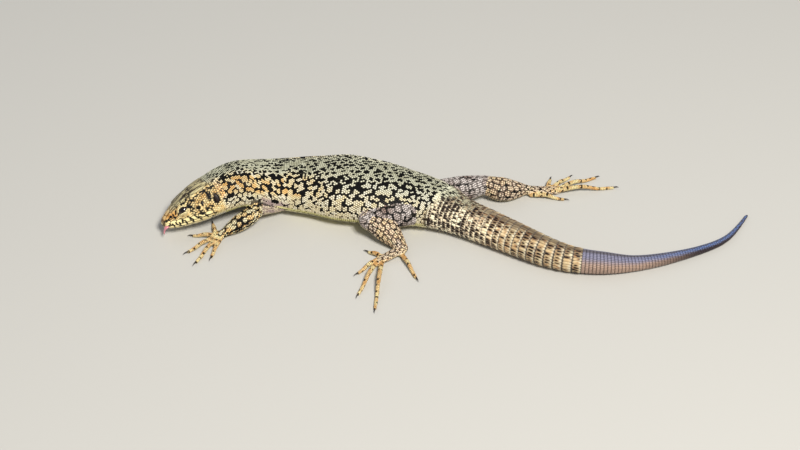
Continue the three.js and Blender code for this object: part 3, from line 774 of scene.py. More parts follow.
def regrown_colour(at, share):
    """The regrown tail: a dark line on top, lavender grey beside it and brownish pink below, slate
    blue over dark brown towards the tip, with darker ring edges and fine lines along it.  The
    lavender and slate blue are partly its own colour and partly a painted reflection of the sky."""
    around = np.abs(turned_up(share))
    on = smoothstep(at, 106, 130)
    # The upper side's colours carry a painted reflection of the sky.
    top = laid_over(REGROWN_TOP_AND_PAINTED_SKY, (TIP_TOP_AND_PAINTED_SKY, on))
    low = laid_over(REGROWN_LOW, (TIP_LOW, smoothstep(at, 110, 128)))
    limit = mix(0.37, 0.3, on) + 0.02 * drift(at / 2, share * 8, 41)
    ring = np.interp(at, RINGS, np.arange(len(RINGS)))
    edge = smoothstep(np.abs(ring - np.rint(ring)), 0.36, 0.48)
    lines = 0.5 + 0.5 * drift(at / 3, share * 30, 43)
    ridge = 0.8 * smoothstep(around, 0.13, 0.03)
    colour = laid_over(top, (low, smoothstep(around - limit, -0.14, 0.08)), (REGROWN_RIDGE, ridge))
    return colour * (1 - 0.3 * edge - 0.14 * lines)[..., None]


MOUTH_CORNER_AT = 11.0
mouth_height = profile([[0, -0.42], [6.6, -1.53], [MOUTH_CORNER_AT, -2.05]])  # over the head's axis


def mouth_share(at):
    """The share of the way round at which the mouth line runs: the section solved for its height."""
    deep = np.clip(-mouth_height(at) / (half_width(at) * drop_share(at)), 0, 0.95)
    return share_of(at, -np.arcsin(deep ** (square_below(at) / 2)))


# Black marks of the head, each a rounded stroke from one place and share to another, with a radius
# that MARK_GROWTH makes the same share larger on all of them.
MARK_GROWTH = 1.65
HEAD_MARKS = [
    (0.95, 0.365, 1.0, 0.37, 0.15),
    (1.5, 0.36, 1.5, 0.36, 0.17), (2.1, 0.325, 2.1, 0.33, 0.2), (2.8, 0.33, 2.8, 0.335, 0.14),
    (2.8, 0.395, 2.9, 0.43, 0.15), (3.7, 0.29, 3.45, 0.34, 0.14), (4.4, 0.24, 4.6, 0.25, 0.12),
    (5.7, 0.275, 6.1, 0.275, 0.2), (7.1, 0.22, 6.8, 0.26, 0.12), (7.6, 0.31, 8.2, 0.325, 0.22),
    (6.8, 0.35, 6.9, 0.385, 0.27), (7.3, 0.42, 7.3, 0.43, 0.2), (6.7, 0.46, 6.9, 0.475, 0.17),
    (8.5, 0.455, 8.4, 0.465, 0.26), (9.4, 0.415, 9.4, 0.45, 0.17), (7.4, 0.5, 7.4, 0.5, 0.13),
    (8.4, 0.565, 8.7, 0.565, 0.27), (9.8, 0.535, 11.1, 0.53, 0.2), (10.9, 0.665, 11.5, 0.655, 0.12),
    (9.3, 0.62, 9.9, 0.64, 0.1), (10.2, 0.69, 10.5, 0.74, 0.12), (10.4, 0.27, 11.1, 0.28, 0.19),
    (11.8, 0.26, 12.5, 0.3, 0.12), (12.8, 0.27, 13.1, 0.3, 0.17), (11.3, 0.32, 11.5, 0.35, 0.17),
    (11.5, 0.35, 11.2, 0.42, 0.28), (8.5, 0.285, 9.8, 0.285, 0.1), (5.4, 0.53, 5.9, 0.6, 0.1),
    (6.7, 0.545, 7.1, 0.6, 0.11), (7.1, 0.6, 8.0, 0.62, 0.1), (1.0, 0.57, 1.15, 0.64, 0.11),
    (1.8, 0.56, 1.95, 0.63, 0.11), (3.2, 0.57, 3.4, 0.64, 0.11), (4.0, 0.53, 4.15, 0.58, 0.09),
    (2.6, 0.585, 2.75, 0.64, 0.1), (4.5, 0.59, 4.7, 0.65, 0.1), (6.0, 0.6, 6.25, 0.65, 0.1),
    (8.9, 0.62, 9.2, 0.66, 0.1), (3.0, 0.68, 3.2, 0.71, 0.08), (5.9, 0.69, 6.2, 0.72, 0.08),
]
# Where the sutures between the shields of the upper and the lower lip meet the mouth line.
UPPER_SUTURES = np.array([1.5, 2.7, 4.05, 5.75, 7.5, 9.05])
LOWER_SUTURES = np.array([1.95, 3.25, 4.6, 6.05, 7.6, 9.15])


def near_marks(at, share, marks):
    """True inside any of the strokes: within its radius, made uneven, of its middle line."""
    girth = half_girth(at)
    uneven = 1 + 0.3 * drift(at / 0.35, share * girth / 0.35, 59)
    hit = np.zeros(at.shape, bool)
    for at_1, share_1, at_2, share_2, radius in marks:
        run = np.array([at_2 - at_1, (share_2 - share_1) * half_girth(at_1)])
        x, y = at - at_1, (np.abs(share) - share_1) * girth
        along = np.clip((x * run[0] + y * run[1]) / max(run @ run, 1e-6), 0, 1)
        hit |= np.hypot(x - along * run[0], y - along * run[1]) < MARK_GROWTH * radius * uneven
    return hit


def head_colour(at, share):
    """The head: grey-tan shields with dark streaks along them, brown on the snout, cream and tan
    cheeks with black marks, and pale yellow lips with black bars.  Streaks are smooth noise drawn
    out along the head, and each zone is a smooth step of the distance from its feature."""
    around = np.abs(share)
    girth = half_girth(at)
    x, y = at, share * girth

    # Crown and cheeks, with brown cell edges behind the eye and an orange snout.
    streaks = drift(x / 1.5, y / 0.26, 51) + 0.6 * drift(x / 0.8, y / 0.17, 56)
    top = laid_over(
        CROWN, (CROWN_PALE, 0.3 + 0.6 * drift(x / 1.1, y / 0.3, 57)),
        (CHEEK_PALE, 0.5 * smoothstep(x, 5, 2)), (CROWN_STREAK, smoothstep(streaks, 0.02, 0.2)),
    )
    cheek = laid_over(CHEEK, (CHEEK_PALE, 0.5 + 0.7 * drift(x / 0.8, y / 0.55, 58)))
    _, gap, own = cells(x / 1.05, y / 0.85, 55, 0.6)
    rear = smoothstep(x, 5.5, 7.5) * smoothstep(around, 0.24, 0.28) * smoothstep(around, 0.6, 0.5)
    orange = bell(x, 2.6, 1.5) * bell(around, 0.35, 0.1)
    colour = laid_over(
        top,
        (cheek, smoothstep(around + 0.02 * drift(x, y, 52), 0.21, 0.28)),
        (SNOUT_BROWN, rear * 0.4 * own),
        (TIP_BROWN, rear * smoothstep(gap, 0.24, 0.08) * (0.4 + 0.6 * own)),
        (SNOUT_BROWN, 0.95 * orange + 0.5 * smoothstep(x, 4, 1.5) * (around < 0.3)),
    )

    # Lips: how far above the mouth line a place is, and the bars that lean across the sutures.
    lip = (mouth_share(at) - around) * girth
    lean = x + 0.3 * lip + 0.12 * drift(x / 0.4, y / 0.3, 53)
    above, below = (np.abs(lean[..., None] - places).min(-1) for places in (UPPER_SUTURES, LOWER_SUTURES))
    bar = np.where(lip > 0, above, below) < 0.2 - 0.16 * np.abs(np.abs(lip) - 0.25)

    # A pale rim round the eye and its dark corners, the ear, the tip of the snout, marks and mouth.
    eye = np.hypot((x - EYE_AT) / 1.3, (around - 0.375) * girth / 0.95)
    leaning = around - 0.38 + 0.01 * (x - EYE_AT)
    ear = np.hypot((x - EAR_AT + 3 * (around - 0.47)) / 0.62, (around - 0.465) * girth / 1.25)
    seam = smoothstep(np.abs(lip), 0.2, 0.1) * smoothstep(x, MOUTH_CORNER_AT + 0.3, MOUTH_CORNER_AT - 0.5)
    return laid_over(
        colour,
        (LIP_YELLOW, 0.85 * smoothstep(lip, 1.7, 0.9) * smoothstep(x, 11.5, 9)),
        (BELLY, smoothstep(lip, -1.0, -2.5)),
        (INK, bar * (np.abs(lip) < 0.85) * (x < 10.5)),
        (CHEEK_PALE, smoothstep(np.abs(eye - 0.75), 0.34, 0.14)),
        (INK_BROWN, np.hypot((x - EYE_AT) / 1.5, leaning * girth / 0.36) < 1),
        (INK_BROWN, smoothstep(ear, 1.05, 0.95)),
        (TIP_BROWN, smoothstep(x, 0.9, 0.3) * smoothstep(lip, 0.2, 0.6) * 0.8),
        (INK, near_marks(at, share, HEAD_MARKS)),
        (INK_BROWN, seam),
    )


def body_colour(at, share):
    """The markings of head, trunk and tail at places along the back and shares of the way round."""
    at, share = np.broadcast_arrays(np.asarray(at, float), np.asarray(share, float))
    border = 12.3 + 1.1 * smoothstep(np.abs(share), 0.14, 0.26)
    on_trunk = smoothstep(at, border - 0.4, border + 0.4)
    on_tail = smoothstep(at + 12 * (np.minimum(np.abs(turned_up(share)), 0.45) - 0.4), 63.8, 66.2)
    on_tail = np.maximum(on_tail, at > 74)
    regrown = 1.0 * (at > BREAK_AT)
    colour = np.zeros(at.shape + (3,))
    for shown, above, zone in (
        (1 - on_trunk, None, head_colour), (on_trunk, on_tail, trunk_colour),
        (on_tail, regrown, tail_colour), (regrown, None, regrown_colour),
    ):
        shown = shown if above is None else shown * (1 - above)
        here = shown > 0
        colour[here] += zone(at[here], share[here]) * shown[here][:, None]
    return colour


THIGH_SLIT_FROM, THIGH_SLIT_TO = 4.0, 8.2  # places down the thigh


def limb_colour(pose, part, along, angle):
    """The markings of a limb: round spots parted by black on the arm, a grey thigh with a black
    slit and wrinkles, a tan shank with dark cell edges, a bare-looking fold at the armpit, and
    yellowish digits with black bars.  along is in mm from the root, and angle is round the tube.
    The spots are cells, and black is what lies farther than a radius from their seeds."""
    fore = pose["name"] == "fore"
    seed = 60 + 7 * fore + 3 * (pose["side"] == "left")
    reach = 0.6 if part.startswith("digit") else (2.0 if fore else 2.6)
    x, y = along, angle * reach
    wavy = 0.18 * drift(x / 1.2, y / 1.2, seed + 1)
    pitch = 1.3 if part == "lower" and not fore else 1.45
    first, gap, own = cells(x / pitch + wavy, y / pitch - wavy, seed, 0.45)
    patchy = drift(x / 2.4, y / 2.4, seed + 2)
    fine = drift(x / 0.9, y / 0.5, seed + 4)
    if part.startswith("digit"):
        base = laid_over(TOE_YELLOW, (TOE_ORANGE, 0.4 + 0.6 * drift(x / 1.1, y, seed)))
        ringed = np.abs(np.mod(x / 1.5 + 0.2 * own, 1) - 0.5) < 0.15
        ink = ringed * (drift(x / 0.8, y / 0.4, seed + 1) > -0.1) * 0.95
    elif part == "fold":
        # Painted shade in the creases of the armpit's fold, along the cell edges.
        fold_creases_painted_shade = 0.6 * smoothstep(gap, 0.2, 0.06)
        base = laid_over(ARMPIT, (LIMB_UNDER, 0.35 + 0.6 * fine), (THIGH_BROWN, fold_creases_painted_shade))
        ink = first > 0.66
    elif fore:
        base = laid_over(ARM_CREAM, (ORANGE_TAN, 0.65 * (own > 0.55) + 0.2 * patchy))
        ink = first > 0.41 + 0.04 * patchy
    elif part == "upper":
        base = laid_over(
            THIGH_GREY, (THIGH_BROWN, 0.35 + 0.6 * patchy + 0.6 * (own - 0.5)),
            (INK_BROWN, 0.8 * smoothstep(gap, 0.26, 0.1)),
        )
        wrinkle = np.abs(drift(x / 2.6, y / 0.9, seed + 5)) < 0.06
        ahead = -1 if pose["side"] == "left" else 1
        round_it = np.arctan2(np.sin(angle), ahead * np.cos(angle)) * reach
        to_slit = x - np.clip(x, THIGH_SLIT_FROM, THIGH_SLIT_TO)
        slit = np.hypot(to_slit, round_it - 0.6 - 0.5 * np.sin(x * 1.3)) < 0.32 + 0.15 * patchy
        ink = slit + (first > 0.49 - 0.06 * patchy) * (patchy > -0.3) + wrinkle * (fine > -0.4)
    else:
        edges = smoothstep(gap, 0.3, 0.14)
        base = laid_over(SHANK_TAN, (THIGH_GREY, 0.4 * own + 0.3 * patchy), (INK_BROWN, edges))
        ink = first > 0.53 - 0.04 * patchy
    under = smoothstep(np.sin(angle), -0.35, -0.75)
    return laid_over(base, (INK, ink), (LIMB_UNDER, under))


# ---------------------------------------------------------------- meshes


def new_object(name, data):
    """An object of the scene that shows a mesh, a lamp or a camera."""
    made = bpy.data.objects.new(name, data)
    bpy.context.scene.collection.objects.link(made)
    return made


def put_mesh(name, points, faces, colour=None, patches=None):
    """A smooth mesh from points in mm in the body's coordinates, given in metres in the frame.
    faces is a list of whole-number arrays, each of faces with the same number of corners.  colour
    is one colour or the markings at each point, and patches each point's place on the piece's map."""
    mesh = bpy.data.meshes.new(name)
    corners = np.concatenate([part.ravel() for part in faces]).astype(np.int32)
    sizes = np.concatenate([np.full(len(part), part.shape[1]) for part in faces])
    starts = np.concatenate([[0], np.cumsum(sizes)[:-1]]).astype(np.int32)
    mesh.vertices.add(len(points))
    mesh.vertices.foreach_set("co", ((points + shift) * MM).astype(np.float32).ravel())
    mesh.loops.add(len(corners))
    mesh.loops.foreach_set("vertex_index", corners)
    mesh.polygons.add(len(sizes))
    mesh.polygons.foreach_set("loop_start", starts)
    mesh.polygons.foreach_set("use_smooth", np.ones(len(sizes), bool))
    mesh.update(calc_edges=True)
    if colour is not None:
        marks = mesh.attributes.new("markings", "FLOAT_COLOR", "POINT")
        full = np.ones((len(points), 4), np.float32)
        full[:, :3] = np.clip(colour, 0, 1)
        marks.data.foreach_set("color", full.ravel())
    if patches is not None:
        layer = mesh.uv_layers.new(name="OFBake")
        layer.uv.foreach_set("vector", patches[corners].astype(np.float32).ravel())
    return new_object(name, mesh)


def points_of(mesh):
    """The places of a mesh's points, as rows of three."""
    found = np.empty(len(mesh.vertices) * 3, np.float32)
    mesh.vertices.foreach_get("co", found)
    return found.reshape(-1, 3).astype(float)


def walls_of(rows, sides, first=0):
    """Quads between neighbouring rows of sides points each, numbered from first on, and the numbers
    of the first and the last row."""
    near = np.arange(rows)[:, None] * sides + np.arange(sides) + first
    turned = np.roll(near, -1, axis=1)
    walls = np.stack([near[:-1], turned[:-1], turned[1:], near[1:]], -1).reshape(-1, 4)
    return walls, near[0], near[-1]


def fan(row, pole):
    """Triangles from each edge of a closed row of points to a pole."""
    return np.stack([row, np.roll(row, -1), np.full(len(row), pole)], -1)


def shell(front, grid, rear):
    """Points and faces of a closed surface from its grid of rows and its two poles."""
    rows, sides = grid.shape[:2]
    points = np.concatenate([front[None], grid.reshape(-1, 3), rear[None]])
    walls, first, last = walls_of(rows, sides, 1)
    return points, [walls, fan(first, 0)[:, ::-1], fan(last, rows * sides + 1)]


def joined(shells):
    """Points and faces of several shells as one mesh."""
    points, faces, count = [], [], 0
    for own_points, own_faces in shells:
        points.append(own_points)
        faces += [part + count for part in own_faces]
        count += len(own_points)
    return np.concatenate(points), faces


def evaluated(made):
    """The object as its modifiers leave it."""
    return made.evaluated_get(bpy.context.evaluated_depsgraph_get())


# ---------------------------------------------------------------- one skin

VOXEL = 0.3  # side of the skin's quads
FINE_UNTIL = 14.0  # the head's skin before this place has quads of half the size
SEAM_TURNS = 14  # how often the skin is relaxed where parts meet
# The bare skin's darkness is painted shade in the gaps between the scales.
BARE_SKIN_PAINTED_SHADE = 0.15  # bare skin between the scales is this much of the scales' own colour
FLOOR_GAP = 0.02  # the skin stays this far over the floor


def body_shell():
    """The body from snout to tail tip, as rows of the superellipse along its line, closer together
    at the snout."""
    places = np.concatenate([[0.03, 0.08, 0.15, 0.25, 0.4, 0.6], np.arange(0.8, TAIL_TIP_AT - 0.2, 0.3)])
    angles = np.linspace(0, 2 * math.pi, 97)[:-1]
    grid = body_skin(places[:, None], angles[None, :], -COAT)
    nose = body_frame(np.array(0.0))[0]
    tip, back, _, _ = body_frame(np.array(TAIL_TIP_AT - 0.1))
    return shell(nose, grid, tip + back * 0.05)


def tube_shell(tube, rows=44, sides=32):
    """A tube of a limb, with its rows closer together towards its ball ends.  Its angles run the
    other way than the body's, since its side direction does."""
    share = (1 - np.cos(math.pi * np.arange(1, rows) / rows)) / 2
    angles = -np.linspace(0, 2 * math.pi, sides + 1)[:-1]
    grid = tube.skin(share[:, None], angles[None, :], -COAT)
    return shell(tube.line[0], grid, tube.line[-1])


def swapped(faces):
    """The faces turned to look the other way."""
    return [part[:, ::-1] for part in faces]


def wrap_as_one():
    """All the shells made one surface by a voxel remesh in millimetres, finer on the head."""
    shells = [body_shell()] + [tube_shell(tube) for _, tubes, _ in limbs for tube in tubes.values()]
    points, faces = joined(shells)
    rough = put_mesh("rough_skin", points / MM - shift, faces)
    remesh = rough.modifiers.new("one_skin", "REMESH")
    remesh.mode = "VOXEL"
    remesh.voxel_size = VOXEL
    mesh = evaluated(rough).to_mesh()
    found = points_of(mesh)
    quads = np.empty(len(mesh.polygons) * 4, np.int32)
    mesh.polygons.foreach_get("vertices", quads)
    bpy.data.objects.remove(rough)
    return found, quads.reshape(-1, 4)


def edges_of(faces):
    """Each edge once, as pairs of point numbers."""
    pairs = np.concatenate([
        np.stack([part, np.roll(part, -1, axis=1)], -1).reshape(-1, 2) for part in faces
    ])
    return np.unique(np.sort(pairs, axis=1), axis=0)


def relax(points, edges, share, turns):
    """Points moved a share of the way to the mean of their neighbours, as many times as turns."""
    count = np.bincount(edges.ravel(), minlength=len(points))[:, None]
    for _ in range(turns):
        total = np.stack([
            np.bincount(edges[:, 0], points[edges[:, 1], k], len(points))
            + np.bincount(edges[:, 1], points[edges[:, 0], k], len(points))
            for k in range(3)
        ], 1)
        points = points + (total / np.maximum(count, 1) - points) * share
    return points


def finer(points, quads, chosen):
    """The chosen quads each cut in four.  Their other neighbours take the new edge points as extra
    corners, so that the surface stays closed."""
    keys = np.sort(np.stack([quads, np.roll(quads, -1, axis=1)], -1), -1) @ np.array([len(points), 1])
    cut, which = np.unique(keys[chosen], return_inverse=True)
    middles = (points[cut // len(points)] + points[cut % len(points)]) / 2
    number = len(points) + np.arange(len(cut))
    own, kept = number[which].reshape(-1, 4), quads[chosen]
    centre = len(points) + len(cut) + np.arange(len(kept))
    quarters = [np.stack([kept[:, k], own[:, k], centre, own[:, k - 1]], 1) for k in range(4)]
    rest = quads[~chosen]
    found = np.minimum(np.searchsorted(cut, keys[~chosen]), len(cut) - 1)
    hit = cut[found] == keys[~chosen]
    ring = np.stack([rest, np.where(hit, number[found], -1)], -1).reshape(-1, 8)
    faces = [np.concatenate(quarters)]
    for extra in range(5):
        rows = ring[hit.sum(1) == extra]
        if len(rows):
            faces.append(rows[rows >= 0].reshape(-1, 4 + extra))
    return np.concatenate([points, middles, points[kept].mean(1)]), faces


def off_mouth(at, points):
    """How far above the mouth line points of the head are."""
    centre, _, _, up = body_frame(at)
    return ((points - centre) * up).sum(-1) - mouth_height(at)


def set_in(points, place, opening):
    """Points in the coordinates of an eye or ear: how far outward, and the ellipse they lie on,
    which is 1 at the rim of the opening."""
    origin, along, outward, upward = place
    off = points - origin
    return off @ outward, np.hypot(off @ along / opening[0], off @ upward / opening[1])


LIP_GROOVE, LIP_SWELL = 0.24, 0.07  # depth of the mouth line, and height of the lips beside it
COLLAR_RISE, COLLAR_GROOVE = 0.3, 0.22  # the throat's fold and the groove behind it
NOSTRIL_RIM, NOSTRIL_PIT = 0.1, 0.3
EAR_RIM, EAR_PIT = 0.1, 0.8
LID_BLEND = 0.06  # how softly the lids leave the eyeball


def carve(points, at, share):
    """Ear pits, nostrils, mouth line and the collar's fold, as pushes along the outward direction:
    each a bell curve or a smooth step of the distance from its feature.  The lids are the skin drawn
    over the eyeball, the soft greater of the two heights, and sunk inside their opening."""
    out = unit(points - body_frame(at)[0])
    lips = off_mouth(at, points)
    before = smoothstep(at, MOUTH_CORNER_AT + 0.4, MOUTH_CORNER_AT - 0.6)
    fold = smoothstep(np.abs(share), 0.42, 0.6)
    push = before * (LIP_SWELL * bell(lips, 0.38, 0.26) - LIP_GROOVE * bell(lips, 0, 0.12))
    push += fold * COLLAR_RISE * bell(at, COLLAR_AT - 0.5, 0.7)
    push -= fold * COLLAR_GROOVE * bell(at, COLLAR_AT + 0.5, 0.4)
    moved = points + out * push[:, None]
    for side in (1, -1):
        away = np.linalg.norm(points - nostrils[side], axis=1) / NOSTRIL_RADIUS
        moved += out * (NOSTRIL_RIM * bell(away, 1.6, 0.5) - NOSTRIL_PIT * bell(away, 0, 0.9))[:, None]

        outward, ring = set_in(points, eye_places[side], LID_OPENING)
        near = (outward > 0.1) & (at < EYE_AT + 3.8)
        off = moved - eye_places[side][0]
        away = np.linalg.norm(off, axis=1)
        lift = np.logaddexp(0, (EYE_RADIUS + LID_DEPTH - away) / LID_BLEND) * LID_BLEND
        lift = lift * smoothstep(ring, 0.9, 1.06)
        moved += off * (near * lift / away)[:, None]
        moved -= eye_places[side][2] * (near * smoothstep(ring, 1.02, 0.84))[:, None]

        outward, ring = set_in(points, ear_places[side], EAR_OPENING)
        pit = EAR_RIM * bell(ring, 1.4, 0.3) - EAR_PIT * smoothstep(ring, 1.15, 0.8)
        pit = np.where(outward > 0, pit, 0) * (np.abs(at - EAR_AT) < 3)
        moved += ear_places[side][2] * pit[:, None]
    return moved


class Part:
    """A part of the animal with its own coordinates: the body, or one tube of a limb."""

    def __init__(self, name, pose=None, tube=None):
        self.name, self.pose, self.tube = name, pose, tube

    def place(self, points):
        """Each point's two coordinates on the part, and its height over the part's skin."""
        return place_on_body(points) if self.tube is None else self.tube.place(points)

    def colour(self, first, second):
        """The markings at two coordinates: place and share, or share of the length and angle."""
        if self.tube is None:
            return body_colour(first, second)
        along = self.tube.start + first * self.tube.length
        return limb_colour(self.pose, self.name, along, second)


PARTS = [Part("body")] + [
    Part(name, pose, tube) for pose, tubes, _ in limbs for name, tube in tubes.items()
]


def places_of(points):
    """Each point's two coordinates on every part and its height over that part's own skin."""
    return [part.place(points) for part in PARTS]


def skin_distances(places):
    """How far each point is from each part's share of the one skin, which lies under the coat."""
    return np.abs(np.stack([over for _, _, over in places]) + COAT)


def skin_colours(places):
    """The parts' markings, each weighed by how near its skin is, as a bell curve 0.3 mm wide."""
    distances = skin_distances(places)
    weights = bell(distances, 0, 0.3) + 1e-9 * (distances == distances.min(0))
    total = np.zeros((distances.shape[1], 3))
    for part, (first, second, _), weight in zip(PARTS, places, weights):
        near = weight > 1e-6 * weights.max(0)
        total[near] += part.colour(first[near], second[near]) * weight[near, None]
    return total / weights.sum(0)[:, None]


def skin_surface():
    """The one skin: wrapped, cut finer on the head, set back on the head's true shape, filleted where
    parts meet, carved, and laid on the floor."""
    points, quads = wrap_as_one()
    at, share, over = place_on_body(points)
    head = (at < FINE_UNTIL) & (np.abs(over + COAT) < 0.15)
    points, faces = finer(points, quads, head[quads].all(1))
    edges = edges_of(faces)
    places = places_of(points)
    distances = skin_distances(places)
    nearest, second = np.sort(distances, axis=0)[:2]
    on_body = nearest == distances[0]
    seam = smoothstep(second, 0.9, 0.25)
    at, share, _ = places[0]
    head = smoothstep(at, FINE_UNTIL + 1, FINE_UNTIL) * on_body
    points = mix(points, skin_at(at, share, -COAT), head[:, None])
    points = relax(points, edges, 0.5 * seam[:, None], SEAM_TURNS)
    points = relax(points, edges, 0.25 * (1 - head[:, None]), 2)
    points = np.where(on_body[:, None], carve(points, at, share), points)
    points[:, 2] = np.maximum(points[:, 2], FLOOR_GAP)
    return points, faces, places


skin_points, skin_faces, skin_places = skin_surface()
skin = put_mesh("skin", skin_points, skin_faces, skin_colours(skin_places) * BARE_SKIN_PAINTED_SHADE)
skin_in_mm = put_mesh("skin_in_mm", skin_points / MM - shift, skin_faces)


def on_skin(points):
    """The nearest points of the skin, and its outward directions there: each leads from the nearest
    point to the one that a shrinkwrap puts a little way over it."""
    mesh = bpy.data.meshes.new("roots")
    mesh.vertices.add(len(points))
    mesh.vertices.foreach_set("co", points.astype(np.float32).ravel())
    cloud = new_object("roots", mesh)
    wrap = cloud.modifiers.new("wrap", "SHRINKWRAP")
    wrap.target = skin_in_mm
    wrap.wrap_method = "NEAREST_SURFACEPOINT"
    wrap.wrap_mode = "ABOVE_SURFACE"
    found = []
    for height in (0.0, 0.2):
        wrap.offset = height
        cloud.update_tag()
        bpy.context.view_layer.update()
        found.append(points_of(evaluated(cloud).to_mesh()))
    bpy.data.objects.remove(cloud)
    return found[0], unit(found[1] - found[0])


# ---------------------------------------------------------------- scales


PATCH = 0.0015  # half the size of a scale's patch on its piece's map


def dome(sides, rings, square=2.0, top=1.0):
    """A closed low dome over a flat underside: rings of points round a superellipse, each ring with
    its radius, height and painted shading, and one point on top, whose painted shading is top.
    The painted shading is painted shade, darkest in the sutures, and a painted highlight on top."""
    turn = (np.arange(sides) + 0.5) / sides * 2 * math.pi
    outline = np.stack([np.cos(turn), np.sin(turn)])
    outline = np.sign(outline) * np.abs(outline) ** (2 / square)
    radius, height, dark = np.array(rings).T
    x, y = (np.append(np.outer(radius, row), 0.0) for row in outline)
    walls, first, last = walls_of(len(rings), sides)
    return dict(
        x=x, y=y, z=np.append(np.repeat(height, sides), 1.0), painted_shading=np.append(np.repeat(dark, sides), top),
        faces=[walls, fan(last, len(rings) * sides), first[None, ::-1]],
    )


def copies(faces, count, points):
    """Faces of a number of shapes that have the same points each, one after another."""
    starts = np.arange(count)[:, None, None] * points
    return [(part + starts).reshape(-1, part.shape[1]) for part in faces]


def home_on_map(at, share, span):
    """Where a scale's root lies on its piece's map: the skin unrolled between two places."""
    return np.stack([(at - span[0]) / (span[1] - span[0]) * 0.96 + 0.02, 0.5 + 0.48 * share], -1)


# The last number of each ring, and top, are painted shading: painted shade in the sutures between the
# scales, and a painted highlight over 1 on their tops.
GRANULE = dome(6, [(1.0, -0.5, 0.05), (0.78, 0.6, 0.76)], top=1.5)
CHEEK_SCALE = dome(12, [(1.0, -0.5, 0.15), (0.86, 0.5, 0.85), (0.5, 0.9, 1.1)], square=2.6, top=1.15)
RING_SCALE = dome(8, [(1.0, -0.4, 0.35), (0.88, 0.55, 0.95)], square=4, top=1.1)
WHORL_SCALE = dome(
    16, [(1.0, -0.4, 0.3), (0.92, 0.3, 0.75), (0.74, 0.68, 1.02), (0.4, 0.93, 1.08)],
    square=4, top=1.1,
)
PLATE = dome(14, [(1.0, -0.4, 0.35), (0.95, 0.5, 0.85), (0.7, 0.9, 1.0)], square=4, top=1.05)

rng = np.random.default_rng(11)
coat = {}  # each piece of the coat, and the finish of its scales


def lay_scales(name, finish, shape, roots, lie, length, width, height, lift, colour, home, keel=0.0):
    """One closed scale at every root, lying along lie on the skin.  A point of the shape goes x half
    lengths along, y half widths aside and z heights out, raised towards its free rear end by lift,
    and by keel along its middle line.  colour is given for each scale, or for each of its points."""
    root, out = on_skin(roots)
    aside = unit(np.cross(out, lie))
    along = np.cross(aside, out)
    x, y, z = shape["x"], shape["y"], shape["z"]
    over = z * height[:, None] + np.maximum(z, 0) * (lift[:, None] * x + keel * (1 - np.abs(y)))
    points = (
        root[:, None] + along[:, None] * (x * length[:, None] / 2)[..., None]
        + aside[:, None] * (y * width[:, None] / 2)[..., None] + out[:, None] * over[..., None]
    ).reshape(-1, 3)
    points[:, 2] = np.maximum(points[:, 2], 0.0)
    tone = 1 + 0.09 * (rng.random((len(root), 1, 1)) - 0.5)
    if colour.ndim == 2:
        colour = colour[:, None]
    # Each scale's colour times its painted shading: painted shade at the rim, a painted highlight on top.
    tint = (colour * shape["painted_shading"][:, None] * tone).reshape(-1, 3)
    patches = (home[:, None] + np.stack([x, y], -1) * PATCH).reshape(-1, 2)
    faces = copies(shape["faces"], len(root), len(x))
    coat[name] = put_mesh(name, points, faces, tint, patches), finish


def rows_round(places, counts):
    """For the scales of staggered rows with counts of their own: each one's row, its position from
    -1 to 1 and its row's count."""
    counts = np.broadcast_to(counts, places.shape).astype(int)
    rows = np.repeat(np.arange(len(places)), counts)
    first = np.concatenate([[0], np.cumsum(counts)[:-1]])
    number = np.arange(counts.sum()) - first[rows]
    return rows, (number + 0.25 + 0.5 * np.mod(rows, 2)) / counts[rows] * 2 - 1, counts[rows]


def inside_limbs(points, margin=0.0):
    """True for points that lie inside any tube of a limb."""
    return np.min([part.place(points)[2] for part in PARTS[1:]], axis=0) < margin


def in_openings(points):
    """True for points of the head in an eye, ear or nostril opening."""
    inside = np.zeros(len(points), bool)
    for side in (1, -1):
        outward, ring = set_in(points, eye_places[side], LID_OPENING)
        inside |= (ring < 1.12) & (outward > 0)
        outward, ring = set_in(points, ear_places[side], EAR_OPENING)
        inside |= (ring < 1.2) & (outward > -0.4)
        inside |= np.linalg.norm(points - nostrils[side], axis=-1) < NOSTRIL_RADIUS * 0.8
    return inside


def body_scales(name, finish, shape, at, share, sizes, span, keep=True, keel=0.0, fine=True):
    """Scales of the body at places and shares, where no limb covers them and keep is true.  sizes
    are length, width, height and lift.  Fine ones take the markings at each of their points, and the
    others at their root."""
    roots = skin_at(at, share, -COAT)
    free = ~inside_limbs(roots, -0.05) & keep
    at, share, roots = at[free], share[free], roots[free]
    lie = skin_at(at + 0.2, share) - skin_at(at - 0.2, share)
    length, width, height, lift = (np.broadcast_to(size, free.shape)[free] for size in sizes)
    if fine:
        along = at[:, None] + shape["x"] * length[:, None] / 2
        aside = share[:, None] + shape["y"] * (width / half_girth(at) / 2)[:, None]
        tint = body_colour(np.clip(along, *span), aside)
    else:
        tint = body_colour(at, share)
    home = home_on_map(at, share, span)
    lay_scales(name, finish, shape, roots, lie, length, width, height, lift, tint, home, keel)


# Back and flanks: small granules in staggered rows, sixty across between the belly's edges.
ACROSS = 60
NECK_FROM, MID_TRUNK = 14.3, 41.0  # where the granules begin, and where their two pieces meet


def granule_width(at):
    """Width of the granules at a place: sixty fill the skin above the belly's edges."""
    return 2 * plate_edge(at) * half_girth(at) / ACROSS


